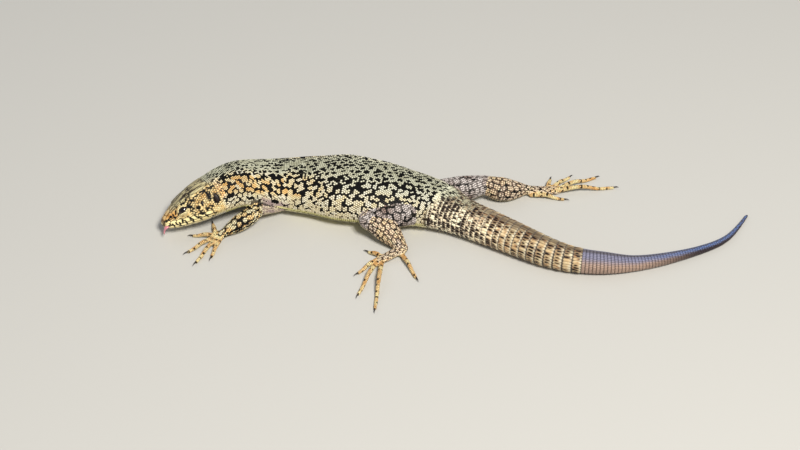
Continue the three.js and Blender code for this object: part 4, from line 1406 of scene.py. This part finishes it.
def granule_pieces():
    """The granules of neck, back and flanks, as one piece before the middle and one behind it."""
    places = spaced(NECK_FROM, TRUNK_END, lambda at: granule_width(at) * 0.88)
    rows, position, _ = rows_round(places, np.full(places.shape, ACROSS))
    at = places[rows]
    wide = granule_width(at)
    sizes = wide * 1.16, wide, wide * 0.26, wide * 0.1
    for name, span in (("front", (NECK_FROM, MID_TRUNK)), ("rear", (MID_TRUNK, TRUNK_END))):
        keep = (at >= span[0]) & (at < span[1])
        share = position * plate_edge(at)
        body_scales(f"back_scales_{name}", "back_scales", GRANULE, at, share, sizes, span, keep, fine=False)


granule_pieces()

# ---- shields of the head


def lip_row(places, size, width, off):
    """Shields beside the mouth line, from their places and how much longer than size each is: off is
    how far round the skin their middles are from it."""
    return [(at, float(mouth_share(at) * half_girth(at)) + off, size * grow, width) for at, grow in places]


# Place along the back, distance round the skin from the spine, length and width, in mm.  Those off
# the spine stand on both sides.
SHIELDS = [
    (0.12, 0.0, 1.0, 1.7), (0.95, 0.62, 1.1, 1.15), (2.15, 0.0, 1.7, 2.0), (3.5, 0.85, 1.8, 1.6),
    (5.6, 0.0, 3.5, 1.7), (4.0, 1.95, 0.8, 0.8), (5.0, 2.0, 1.5, 1.8), (6.5, 2.1, 1.6, 1.9),
    (7.6, 2.3, 0.8, 1.1), (7.95, 0.85, 1.8, 1.6), (9.6, 0.0, 1.8, 0.95), (11.2, 0.0, 1.4, 1.1),
    (10.4, 2.1, 3.6, 3.0), (8.8, 3.9, 1.5, 0.8), (10.3, 4.2, 1.5, 0.85), (11.8, 4.1, 1.4, 0.9),
    (1.45, 1.45, 0.8, 0.8), (2.2, 2.0, 1.2, 1.2), (3.4, 2.75, 1.4, 1.4), (1.1, 2.5, 0.9, 0.7),
    (9.0, 6.9, 1.5, 1.3),
]
SHIELDS += [(at, 3.05, 0.85, 0.4) for at in (4.2, 5.0, 5.8, 6.6, 7.4)]  # brow
UPPER_LIP = [(0.9, 1), (2.1, 1), (3.35, 1), (4.9, 1.35), (6.7, 1.25), (8.3, 1.2), (9.8, 1.1)]
LOWER_LIP = [(1.3, 1), (2.6, 1), (3.9, 1), (5.3, 1.1), (6.8, 1.15), (8.4, 1.2), (9.9, 1.1)]
SHIELDS += lip_row(UPPER_LIP, 1.3, 1.0, -0.55) + lip_row(LOWER_LIP, 1.35, 0.75, 0.42)
SHIELDS += [  # chin: the second number is the distance from the middle of the underside
    (at, float(half_girth(at)) - off, size, width)
    for at, off, size, width in (
        (0.25, 0.0, 1.1, 1.5), (1.5, 0.6, 1.5, 1.2), (3.1, 0.9, 1.8, 1.7), (5.0, 1.2, 2.1, 2.2),
        (7.0, 2.2, 2.1, 2.2), (8.8, 3.3, 1.8, 1.8),
    )
]
SHIELD_POWER = 2.8  # how square the shields' corners are: 2 gives an ellipse
SHIELD_REACH = 1.3  # how far past its own half size a shield may grow
# The third column is painted shading: painted shade in the suture at the rim, and a painted highlight on the
# shield's face.
SHIELD_RINGS = [  # share of the way to the edge, height over the skin, shade
    (1.0, -0.05, 0.2), (0.975, 0.04, 0.55), (0.92, 0.085, 0.95), (0.8, 0.1, 1.05), (0.68, 0.105, 1.08),
    (0.56, 0.108, 1.1), (0.44, 0.11, 1.1), (0.32, 0.112, 1.1), (0.18, 0.114, 1.1),
]
SHIELD_TOP, SHIELD_FOOT = 0.115, -0.25  # heights of the two points in the middle
SHIELD_SIDES = 36
SUTURE = 0.022  # half the gap between shields
# How near the eye shields and small scales come, and how far out its own rings of scales lie over
# any shield, in openings of the lids.
SHIELDS_OFF_EYE, SMALL_OFF_EYE, LIDS_REACH = 1.75, 2.35, 1.7


def both_sides(rows):
    """Rows of shields with those off the spine repeated on the right."""
    rows = np.array(rows)
    off_spine = (rows[:, 1] > 0.01) & (np.abs(rows[:, 1] - half_girth(rows[:, 0])) > 0.01)
    mirrored = rows[off_spine] * np.array([1, -1, 1, 1])
    return np.concatenate([rows, mirrored])


shield_at, shield_off, shield_long, shield_wide = both_sides(SHIELDS).T
shield_half = np.minimum(shield_long, shield_wide) / 2
shield_share = shield_off / half_girth(shield_at)
shield_root, shield_out = on_skin(skin_at(shield_at, shield_share, -COAT))
shield_aside = unit(np.cross(shield_out, body_frame(shield_at)[1]))
shield_along = np.cross(shield_aside, shield_out)


def shield_distance(points, k):
    """How far points lie from shield k, as a share of its half size: the chord from its root, laid
    along the tangent plane, measured by a superellipse."""
    chord = points - shield_root[k]
    flat = chord - shield_out[k] * (chord @ shield_out[k])[..., None]
    flat = unit(flat) * np.linalg.norm(chord, axis=-1)[..., None]
    ahead = np.abs(flat @ shield_along[k]) / (shield_long[k] / 2)
    aside = np.abs(flat @ shield_aside[k]) / (shield_wide[k] / 2)
    return (ahead**SHIELD_POWER + aside**SHIELD_POWER) ** (1 / SHIELD_POWER)


def nearest_shield(points):
    """The least distance to a shield, and which one it is."""
    least = np.full(points.shape[:-1], 99.0)
    which = np.zeros(points.shape[:-1], int)
    for k in range(len(shield_at)):
        away = shield_distance(points, k)
        which = np.where(away < least, k, which)
        least = np.minimum(away, least)
    return least, which


def lid_ring(points):
    """The ellipse round the nearer eye on which points of the head lie, in openings of the lids."""
    rings = []
    for side in (1, -1):
        outward, ring = set_in(points, eye_places[side], LID_OPENING)
        rings.append(np.where(outward > -0.6, ring, 9.0))
    return np.minimum(*rings)


def shield_rays():
    """Directions round a shield, and the vectors from each root to its superellipse that way."""
    turn = np.arange(SHIELD_SIDES) / SHIELD_SIDES * 2 * math.pi
    c, s = np.cos(turn), np.sin(turn)
    reach = (np.abs(c) ** SHIELD_POWER + np.abs(s) ** SHIELD_POWER) ** (-1 / SHIELD_POWER)
    ahead = c * reach * shield_long[:, None] / 2
    aside = s * reach * shield_wide[:, None] / 2
    return c, s, shield_along[:, None] * ahead[..., None] + shield_aside[:, None] * aside[..., None]


def shield_rims(ray):
    """The shields' edges: along every ray the last place before another shield is nearer or an
    opening begins, smoothed over its neighbours and drawn back by half a suture."""
    steps = np.linspace(0.05, SHIELD_REACH, 42)
    sample = shield_root[:, None, None] + ray[:, :, None] * steps[:, None]
    spots = on_skin(sample.reshape(-1, 3))[0]
    _, which = nearest_shield(spots)
    own = which == np.repeat(np.arange(len(ray)), SHIELD_SIDES * len(steps))
    own &= (lid_ring(spots) > SHIELDS_OFF_EYE) & ~in_openings(spots)
    held = np.cumprod(own.reshape(*ray.shape[:2], -1), axis=2).sum(2)
    edge = steps[np.maximum(held - 1, 0)]
    edge = (np.roll(edge, 1, 1) + 2 * edge + np.roll(edge, -1, 1)) / 4
    edge = edge * (1 - SUTURE / shield_half[:, None])
    return shield_root[:, None] + ray * edge[..., None]


def head_shields():
    """Each shield's rim, filled with smaller and smaller rings of points that are dropped on the skin
    and raised to the shield's height, with one more point on top and one underneath."""
    c, s, ray = shield_rays()
    part, height, painted_shading = np.array(SHIELD_RINGS).T
    rim = shield_rims(ray)
    middle = rim.mean(1)[:, None]
    spread = middle[:, None] + (rim - middle)[:, None] * part[:, None, None]
    points = np.concatenate([spread.reshape(len(rim), -1, 3), middle, middle], 1)
    rise = np.append(np.repeat(height, SHIELD_SIDES), [SHIELD_TOP, SHIELD_FOOT])
    found, out = on_skin(points.reshape(-1, 3))
    low = np.minimum(1, 0.25 + shield_half[:, None] / 0.9)  # small shields are thinner
    found = found + out * (rise * low).reshape(-1, 1)
    at, share, _ = place_on_body(found)
    # Painted shading of every point: painted shade at the suture, a painted highlight on the face, then the
    # top and the foot.
    dark = np.append(np.repeat(painted_shading, SHIELD_SIDES), [1.1, 0.3])
    tone = 1 + 0.12 * (rng.random((len(rim), 1)) - 0.5)
    tint = body_colour(at, share) * (dark * tone).reshape(-1, 1)
    count = len(rise)
    walls, first, last = walls_of(len(part), SHIELD_SIDES)
    faces = [walls, fan(last, count - 2), fan(first, count - 1)[:, ::-1]]
    spots = np.stack([np.append(np.outer(part, turn), [0, 0]) for turn in (c, s)], -1) * PATCH
    patches = (home_on_map(shield_at, shield_share, (0, HEAD_END))[:, None] + spots).reshape(-1, 2)
    faces = copies(faces, len(rim), count)
    coat["head_shields"] = put_mesh("head_shields", found, faces, tint, patches), "head_shields"


head_shields()


def off_shields(at, share, clear=0.12):
    """True where a small scale at a place and share would lie clear of shields, lids and openings."""
    roots = skin_at(at, share, -COAT)
    least, which = nearest_shield(roots)
    over = (least - SHIELD_REACH + 0.1) * shield_half[which]
    return ((over > clear) | (at > 13.0)) & (lid_ring(roots) > SMALL_OFF_EYE) & ~in_openings(roots)


def small_scales(name, finish, start, end, low, high, size, shape=GRANULE, thick=0.2):
    """Staggered rows of small scales of one size on both sides, from share low to share high, each
    lying a little over the next."""
    places = spaced(start, end, lambda at: np.full_like(at, size * 0.9))
    counts = 2 * np.maximum(np.round(half_girth(places) * (high - low) / size), 1)
    rows, position, _ = rows_round(places, counts)
    at = places[rows]
    share = np.sign(position) * (low + (high - low) * np.abs(position))
    sizes = size * 1.14, size, size * thick, size * 0.1
    body_scales(name, finish, shape, at, share, sizes, (0.0, COLLAR_AT), off_shields(at, share))


small_scales("snout_scales", "head_shields", 0.5, 6.4, 0.12, 0.62, 0.3, CHEEK_SCALE, 0.22)
small_scales("cheek_scales", "head_shields", 6.1, 14.3, 0.2, 0.66, 0.5, CHEEK_SCALE, 0.22)
small_scales("nape_scales", "back_scales", 11.4, 14.3, 0.0, 0.2, 0.34)
small_scales("throat_scales", "jaw_scales", 1.6, 20.0, 0.6, 1.0, 0.42)

LID_SCALE = 0.25
LID_RINGS = 0.11, 0.33, 0.55, 0.77  # distances of the rings of lid scales from the opening


def lid_scales():
    """Rings of small pale scales round the eyes' openings: ellipses laid on the lids' sphere."""
    roots, lies = [], []
    for side in (1, -1):
        origin, along, outward, upward = eye_places[side]
        for ring, gap in enumerate(LID_RINGS):
            half = np.array(LID_OPENING) + gap
            count = int(math.pi * half.sum() / LID_SCALE)
            turn = (np.arange(count) + 0.5 * (ring % 2))[:, None] / count * 2 * math.pi
            c, s = np.cos(turn) * half[0], np.sin(turn) * half[1]
            over = np.sqrt(np.maximum((EYE_RADIUS + LID_DEPTH) ** 2 - c**2 - s**2, 0.8))
            roots.append(origin + along * c + upward * s + outward * over)
            lies.append(upward * c * half[1] / half[0] - along * s * half[0] / half[1])
    lies = np.concatenate(lies)
    found, _ = on_skin(np.concatenate(roots))
    least, _ = nearest_shield(found)
    at, share, _ = place_on_body(found)
    keep = (least > 1.15) | (lid_ring(found) < LIDS_REACH)
    at, share = at[keep], share[keep]
    size = np.full(len(at), LID_SCALE)
    lay_scales(
        "lid_scales", "head_shields", CHEEK_SCALE, found[keep], lies[keep], size * 1.1, size, size * 0.25,
        size * 0.05, body_colour(at, share), home_on_map(at, share, (0, HEAD_END)),
    )


lid_scales()

# Collar: a row of larger scales across the throat's fold.
_, position, _ = rows_round(np.array([COLLAR_AT - 0.3]), np.array([11]))
share = np.sign(position) * (1 - np.abs(position) * 0.34)
at = np.full_like(share, COLLAR_AT - 0.3)
wide = 1.3 - 0.6 * np.abs(position)
body_scales("collar_scales", "jaw_scales", PLATE, at, share, (wide * 1.15, wide, 0.12, 0.08), (14.0, 22.0))

# Belly: plates in six lengthwise rows.
places = spaced(21.0, WHORLS_FROM - 0.8, lambda at: np.full_like(at, 1.65))
at = np.repeat(places, 6)
position = (np.arange(len(at)) % 6 + 0.5) / 3 - 1
share = np.sign(position) * (1 - np.abs(position) * (1 - plate_edge(at)))
wide = half_girth(at) * (1 - plate_edge(at)) / 3
body_scales("belly_plates", "belly_plates", PLATE, at, share, (1.95, wide * 1.04, 0.1, 0.06), (21.0, 66.5))

# Tail before the break: keeled oblong scales in whorls.
rows, position, counts = rows_round(WHORLS, WHORL_COUNTS)
at = WHORLS[rows]
sizes = whorl_gap(at) * 1.12, half_girth(at) * 2 / counts, 0.09, 0.07
span = WHORLS_FROM, BREAK_AT
body_scales("tail_scales", "tail_scales", WHORL_SCALE, at, position, sizes, span, keel=0.05)

# Regrown tail: small smooth scales in fine rings.
rows, position, counts = rows_round(RINGS, np.maximum(np.round(half_girth(RINGS) * 2 / 0.42), 6))
at = RINGS[rows]
sizes = (
    ring_gap(at) * 1.04, half_girth(at) * 2 / counts * 0.97,
    np.minimum(0.06, half_width(at) * 0.08), np.minimum(0.03, half_width(at) * 0.04),
)
span = BREAK_AT, TAIL_TIP_AT
body_scales("regrown_scales", "regrown_scales", RING_SCALE, at, position, sizes, span, fine=False)

FINE_PARTS = "palm", "fold", "digit"  # what begins so has smaller scales
BARE_START = {"upper": 0.6, "fold": 1.3}  # mm of a tube's start that lie inside its neighbour


def limb_scales(pose, tubes):
    """The scales of one limb's tubes, in rows round each: as many rows as fit on the outline walked
    from end to end, and as many scales in each as fit round it."""
    gathered = []
    for number, (part, tube) in enumerate(tubes.items()):
        size = 0.42 if part.startswith(FINE_PARTS) else 0.52
        grid = (1 - np.cos(np.linspace(0, math.pi, 1500))) / 2
        walked = np.cumsum(np.hypot(np.diff(grid) * tube.length, np.diff(tube.thickness(grid))))
        shares = np.interp(np.arange(size * 0.45, walked[-1] - size * 0.3, size * 0.86), walked, grid[1:])
        shares = shares[shares * tube.length > BARE_START.get(part, 0)]
        girth = 2 * math.pi * np.maximum(tube.thickness(shares), 0.1)
        rows, position, counts = rows_round(shares, np.maximum(np.round(girth / size), 3))
        share, angle = shares[rows], position * math.pi
        roots = tube.skin(share, angle, -COAT)
        others = [other.place(roots)[2] for other in PARTS if other.tube is not tube]
        free = np.min(others, axis=0) > -0.16
        share, angle, roots, round_it = share[free], angle[free], roots[free], girth[rows][free]
        step = 0.1 / tube.length
        lie = tube.skin(np.minimum(share + step, 1), angle) - tube.skin(np.maximum(share - step, 0), angle)
        wide = round_it / counts[free]
        along = share[:, None] + GRANULE["x"] * size / 2 / tube.length
        turned = angle[:, None] + GRANULE["y"] * (wide / round_it * math.pi)[:, None]
        tint = limb_colour(pose, part, tube.start + along * tube.length, turned)
        home = np.stack([(number + 0.05 + 0.9 * share) / len(tubes), 0.5 + 0.48 * angle / math.pi], -1)
        gathered.append((roots, lie, np.full(len(roots), size * 1.16), wide, tint, home))
    roots, lie, length, wide, tint, home = (np.concatenate(column) for column in zip(*gathered))
    name = f"{pose['name']}_limb_scales_{pose['side']}"
    lay_scales(
        name, "limb_scales", GRANULE, roots, lie, length, wide, length * 0.14, length * 0.06, tint, home
    )


for pose, tubes, _ in limbs:
    limb_scales(pose, tubes)

# ---------------------------------------------------------------- eyes, ears, tongue and claws


def ellipsoid(place, radii, rows=28, sides=48):
    """A closed ellipsoid whose poles lie on the outward direction, and each point's angle from it."""
    origin, along, outward, upward = place
    polar = math.pi * np.arange(1, rows) / rows
    turn = np.linspace(0, 2 * math.pi, sides + 1)[:-1]
    p, t = polar[:, None, None], turn[None, :, None]
    grid = (
        origin + outward * (np.cos(p) * radii[1]) + along * (np.sin(p) * np.cos(t) * radii[0])
        + upward * (np.sin(p) * np.sin(t) * radii[2])
    )
    points, faces = shell(origin + outward * radii[1], grid, origin - outward * radii[1])
    return points, faces, np.concatenate([[0], np.repeat(polar, sides), [math.pi]])


EYE_BROWN, EYE_RIM, EYE_BLACK = linear("#2a180d"), linear("#160d08"), linear("#050404")
PUPIL_EDGE, IRIS_RIM = (0.36, 0.5), (0.6, 0.8)  # mm from the eye's axis where the colours change
EARDRUM = linear("#1f130d")
MEMBRANE = [0.62, 0.22, 1.15]  # an eardrum's half length, depth and height
TONGUE_PINK = linear("#c98089")

eyes, eardrums = {}, {}
for side, name in ((1, "left"), (-1, "right")):
    points, faces, polar = ellipsoid(eye_places[side], [EYE_RADIUS] * 3)
    from_axis = np.sin(polar) * EYE_RADIUS
    brown, rim = smoothstep(from_axis, *PUPIL_EDGE), smoothstep(from_axis, *IRIS_RIM)
    iris = laid_over(EYE_BLACK, (EYE_BROWN, brown), (EYE_RIM, rim))
    eyes[name] = put_mesh(f"eyeball_{name}", points, faces if side < 0 else swapped(faces), iris)
    points, faces, _ = ellipsoid(ear_places[side], MEMBRANE, rows=14, sides=28)
    faces = faces if side < 0 else swapped(faces)
    eardrums[name] = put_mesh(f"ear_membrane_{name}", points, faces, EARDRUM)

TONGUE_ASIDE = 1.25  # how far left of the middle the tongue comes out


def tongue_tubes():
    """The tongue's blade, bent down over the lower lip, and its two tines."""
    tip, back, left, up = body_frame(np.array(0.5))
    root, _, _, root_up = body_frame(np.array(2.4))

    def outside(ahead, drop, aside):
        """A place so far ahead of the mouth's front, below it and left of the tongue's middle."""
        return tip + up * -0.54 + left * (TONGUE_ASIDE + aside) - back * ahead - UP * drop

    blade = [root + root_up * -0.57, outside(0, 0.05, 0), outside(0.45, 0.4, 0), outside(0.6, 0.75, 0)]
    tubes = [Tube(blade, [0.6, 0.6, 0.5, 0.4], 0.5)]
    for side in (1, -1):
        bends = (0.6, 0.8, 0.15), (0.75, 1.25, 0.28), (0.8, 1.7, 0.45)
        tine = [outside(ahead, drop, side * aside) for ahead, drop, aside in bends]
        tubes.append(Tube(tine, [0.28, 0.24, 0.12], 0.8))
    return tubes


points, faces = joined([tube_shell(tube, 30, 16) for tube in tongue_tubes()])
tongue = put_mesh("tongue_flesh", points, faces, TONGUE_PINK)

claws = {}
for pose, _, paths in limbs:
    tubes = [Tube([np.array(p) for p in path], CLAW_RADII) for path in paths]
    points, faces = joined([tube_shell(tube, 16, 12) for tube in tubes])
    points[:, 2] = np.maximum(points[:, 2], 0.0)
    claws[pose["name"], pose["side"]] = put_mesh(f"{pose['name']}_claws_{pose['side']}", points, faces)

# ---------------------------------------------------------------- materials


def add_node(tree, kind, inputs=None, **settings):
    """Adds a shader node.  settings are its own; inputs gives each socket a value, or the output
    socket that feeds it."""
    made = tree.nodes.new("ShaderNode" + kind)
    for key, value in settings.items():
        setattr(made, key, value)
    for socket, value in (inputs or {}).items():
        if isinstance(value, bpy.types.NodeSocket):
            tree.links.new(value, made.inputs[socket])
        else:
            made.inputs[socket].default_value = value
    return made


def new_material(name):
    """An empty material and its node tree."""
    material = bpy.data.materials.new(name)
    material.use_nodes = True
    material.node_tree.nodes.clear()
    return material, material.node_tree


def keratin(name, grain, mottle, bump, roughness, index=1.4):
    """Dry horny scale: the markings, mottled by a fine grain of so many mm, under a faint satin
    sheen.  The same grain makes the roughness uneven and raises the surface a little.  Real horn's
    grain is finer, and is drawn this coarse so that it shows.  index is how strongly the surface
    bends light: about 1.55 in solid horn, and less here, for scales that shine as little as these."""
    material, tree = new_material(name)
    marks = add_node(tree, "Attribute", attribute_name="markings")
    place = add_node(tree, "TexCoord").outputs["Object"]
    noise = add_node(tree, "TexNoise", {"Vector": place, "Scale": 1 / (grain * MM), "Detail": 3.0})
    middle = {"Value": noise.outputs["Fac"], "From Min": 0.3, "From Max": 0.7}
    tone = add_node(tree, "MapRange", middle | {"To Min": 1 - mottle, "To Max": 1 + mottle})
    rough = add_node(tree, "MapRange", middle | {"To Min": roughness - 0.08, "To Max": roughness + 0.08})
    tinted = add_node(
        tree, "VectorMath", {0: marks.outputs["Color"], 1: tone.outputs["Result"]}, operation="MULTIPLY"
    )
    relief = add_node(tree, "Bump", {
        "Height": noise.outputs["Fac"], "Strength": bump, "Distance": 0.05 * MM,
    })
    shader = add_node(tree, "BsdfPrincipled", {
        "Base Color": tinted.outputs["Vector"], "Roughness": rough.outputs["Result"],
        "Normal": relief.outputs["Normal"], "IOR": index,
    })
    add_node(tree, "OutputMaterial", {"Surface": shader.outputs["BSDF"]})
    return material


def wet_look(name, colour, roughness, coat_weight=0.0):
    """A smooth moist or polished surface: the markings or one colour, with a slight unevenness 0.3 mm
    across and, where coat_weight says so, a clear wet film."""
    material, tree = new_material(name)
    if colour is None:
        base = add_node(tree, "Attribute", attribute_name="markings").outputs["Color"]
    else:
        base = (*colour, 1.0)
    place = add_node(tree, "TexCoord").outputs["Object"]
    noise = add_node(tree, "TexNoise", {"Vector": place, "Scale": 1 / (0.3 * MM), "Detail": 2.0})
    relief = add_node(tree, "Bump", {
        "Height": noise.outputs["Fac"], "Strength": 0.05, "Distance": 0.02 * MM,
    })
    shader = add_node(tree, "BsdfPrincipled", {
        "Base Color": base, "Roughness": roughness, "Normal": relief.outputs["Normal"],
        "Coat Weight": coat_weight, "Coat Roughness": 0.03,
    })
    add_node(tree, "OutputMaterial", {"Surface": shader.outputs["BSDF"]})
    return material


# Granules are dull and a little rough, so that the back looks velvety with no bright line on it.
granular_keratin = keratin("granular_scale_keratin", 0.12, 0.1, 0.3, 0.55, 1.22)
# Belly, collar and throat are smoother, and catch a soft broad light along the flank's lower edge.
smooth_keratin = keratin("smooth_plate_keratin", 0.25, 0.07, 0.15, 0.42)
# The keeled whorls shine more than the granules, as a row of small glints along every keel.
tail_keratin = keratin("keeled_tail_keratin", 0.2, 0.1, 0.25, 0.5, 1.32)
# The regrown tail is the smoothest and has a long satin streak.
regrown_keratin = keratin("regrown_tail_keratin", 0.3, 0.06, 0.12, 0.36)
# The head's plates are flat enough to show as facets, each with its own brightness.
shield_keratin = keratin("head_shield_keratin", 0.2, 0.08, 0.15, 0.45)
# Bare skin is matt, and its markings are darkened as painted shade, so that every scale has a thin dark
# outline.
bare_skin = keratin("bare_skin", 0.15, 0.12, 0.4, 0.6)
# A wet film gives the eye one sharp glint on dark brown.
cornea = wet_look("moist_eye", None, 0.15, 0.6)
# The eardrum is a taut dark membrane, with a faint light at the bottom of its pit.
membrane = wet_look("ear_membrane", EARDRUM, 0.4)
# The tongue is moist pink flesh with small wet lights.
moist_tongue = wet_look("moist_tongue", TONGUE_PINK, 0.28, 0.4)
# Claws are polished dark horn with a narrow light along each.
claw_horn = wet_look("claw_horn", linear("#2b211b"), 0.32)

# The material and the slot of each finish of the coat.
FINISHES = {
    "back_scales": (granular_keratin, "back_scales"),
    "limb_scales": (granular_keratin, "limb_scales"),
    "tail_scales": (tail_keratin, "tail_scales"),
    "regrown_scales": (regrown_keratin, "regrown_scales"),
    "head_shields": (shield_keratin, "jaw_scales"),
    "jaw_scales": (smooth_keratin, "jaw_scales"),
    "belly_plates": (smooth_keratin, "jaw_scales"),
}


def hand_over(piece, slot, material, *nodes):
    """Gives a piece its material and hides the nodes that it stands for.  slot is not used."""
    piece.data.materials.append(material)
    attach(piece, "root")
    if nodes:
        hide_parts(*nodes)


FLESH = [
    "head", "lower_jaw", "neck", "trunk_front", "trunk_middle", "trunk_rear",
    "tail_base", "tail_middle", "tail_regrown", "tail_tip",
]
FLESH += [
    f"{part}_{side}" for side in ("left", "right")
    for part in ("upper_arm", "forearm", "hand", "thigh", "shank", "foot")
]
ORDINALS = ["first", "second", "third", "fourth", "fifth"]

hand_over(skin, "back_scales", bare_skin, *FLESH)
for piece, finish in coat.values():
    material, slot = FINISHES[finish]
    hand_over(piece, slot, material)
for side in ("left", "right"):
    hand_over(eyes[side], "eye", cornea, f"eye_{side}")
    hand_over(eardrums[side], "eardrum", membrane, f"eardrum_{side}")
hand_over(tongue, "tongue", moist_tongue, "tongue")
for (name, side), piece in claws.items():
    hand_over(piece, "claw", claw_horn, *[f"claw_{name}_{side}_{ordinal}" for ordinal in ORDINALS])

bpy.data.objects.remove(skin_in_mm)

# ---------------------------------------------------------------- floor, light and camera

FLOOR_SIZE = 4.0
FLOOR_DROP = 0.00003  # the floor lies this far under the resting flats, so that neither flickers
CAMERA_DISTANCE, CAMERA_ELEVATION, CAMERA_LENS = 0.4, 42, 81

floor_mesh = bpy.data.meshes.new("floor")
half = FLOOR_SIZE / 2
corners = [(x, y, -FLOOR_DROP) for x, y in ((-half, -half), (half, -half), (half, half), (-half, half))]
floor_mesh.from_pydata(corners, [], [(0, 1, 2, 3)])
floor = new_object("floor", floor_mesh)
# A pale matt floor, which takes a soft shadow and no reflection.
floor_material, tree = new_material("matt_floor")
matt = add_node(tree, "BsdfPrincipled", {"Base Color": (*linear("#bebcb6"), 1), "Roughness": 0.8})
add_node(tree, "OutputMaterial", {"Surface": matt.outputs["BSDF"]})
floor_mesh.materials.append(floor_material)
floor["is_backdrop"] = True

target = np.array([shift[0], shift[1], 0.0]) * MM


def soft_light(name, azimuth, elevation, distance, size, power, tint):
    """A square lamp that looks at the model from an azimuth and elevation in degrees.  Its distance
    and size are in metres and its power in watts."""
    lamp = bpy.data.lights.new(name, "AREA")
    lamp.size, lamp.energy, lamp.color = size, power, tint
    made = new_object(name, lamp)
    made.location = target + direction(azimuth, elevation) * distance
    made.rotation_euler = (math.pi / 2 - elevation * RAD, 0, (azimuth + 90) * RAD)


# A small warm lamp from the front makes the shadow, and a broad cool one from behind opens it.
soft_light("key_light", -64, 56, 0.7, 0.16, 6.1, (1.0, 0.97, 0.91))
soft_light("fill_light", 150, 45, 0.8, 0.6, 0.8, (0.93, 0.97, 1.0))

world = bpy.data.worlds.new("studio")
world.use_nodes = True
sky = world.node_tree.nodes["Background"].inputs
sky["Color"].default_value = (0.86, 0.9, 1.0, 1.0)
sky["Strength"].default_value = 0.3
bpy.context.scene.world = world
bpy.context.scene.view_settings.view_transform = "Standard"

camera_data = bpy.data.cameras.new("camera")
camera_data.lens, camera_data.sensor_width, camera_data.clip_start = CAMERA_LENS, 36, 0.01
camera = new_object("camera", camera_data)
camera.location = target + direction(-90, CAMERA_ELEVATION) * CAMERA_DISTANCE
camera.rotation_euler = ((90 - CAMERA_ELEVATION) * RAD, 0, 0)
bpy.context.scene.camera = camera

sizes = {"cad": [list(corner) for corner in cad_box], "visual": [list(corner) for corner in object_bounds()]}
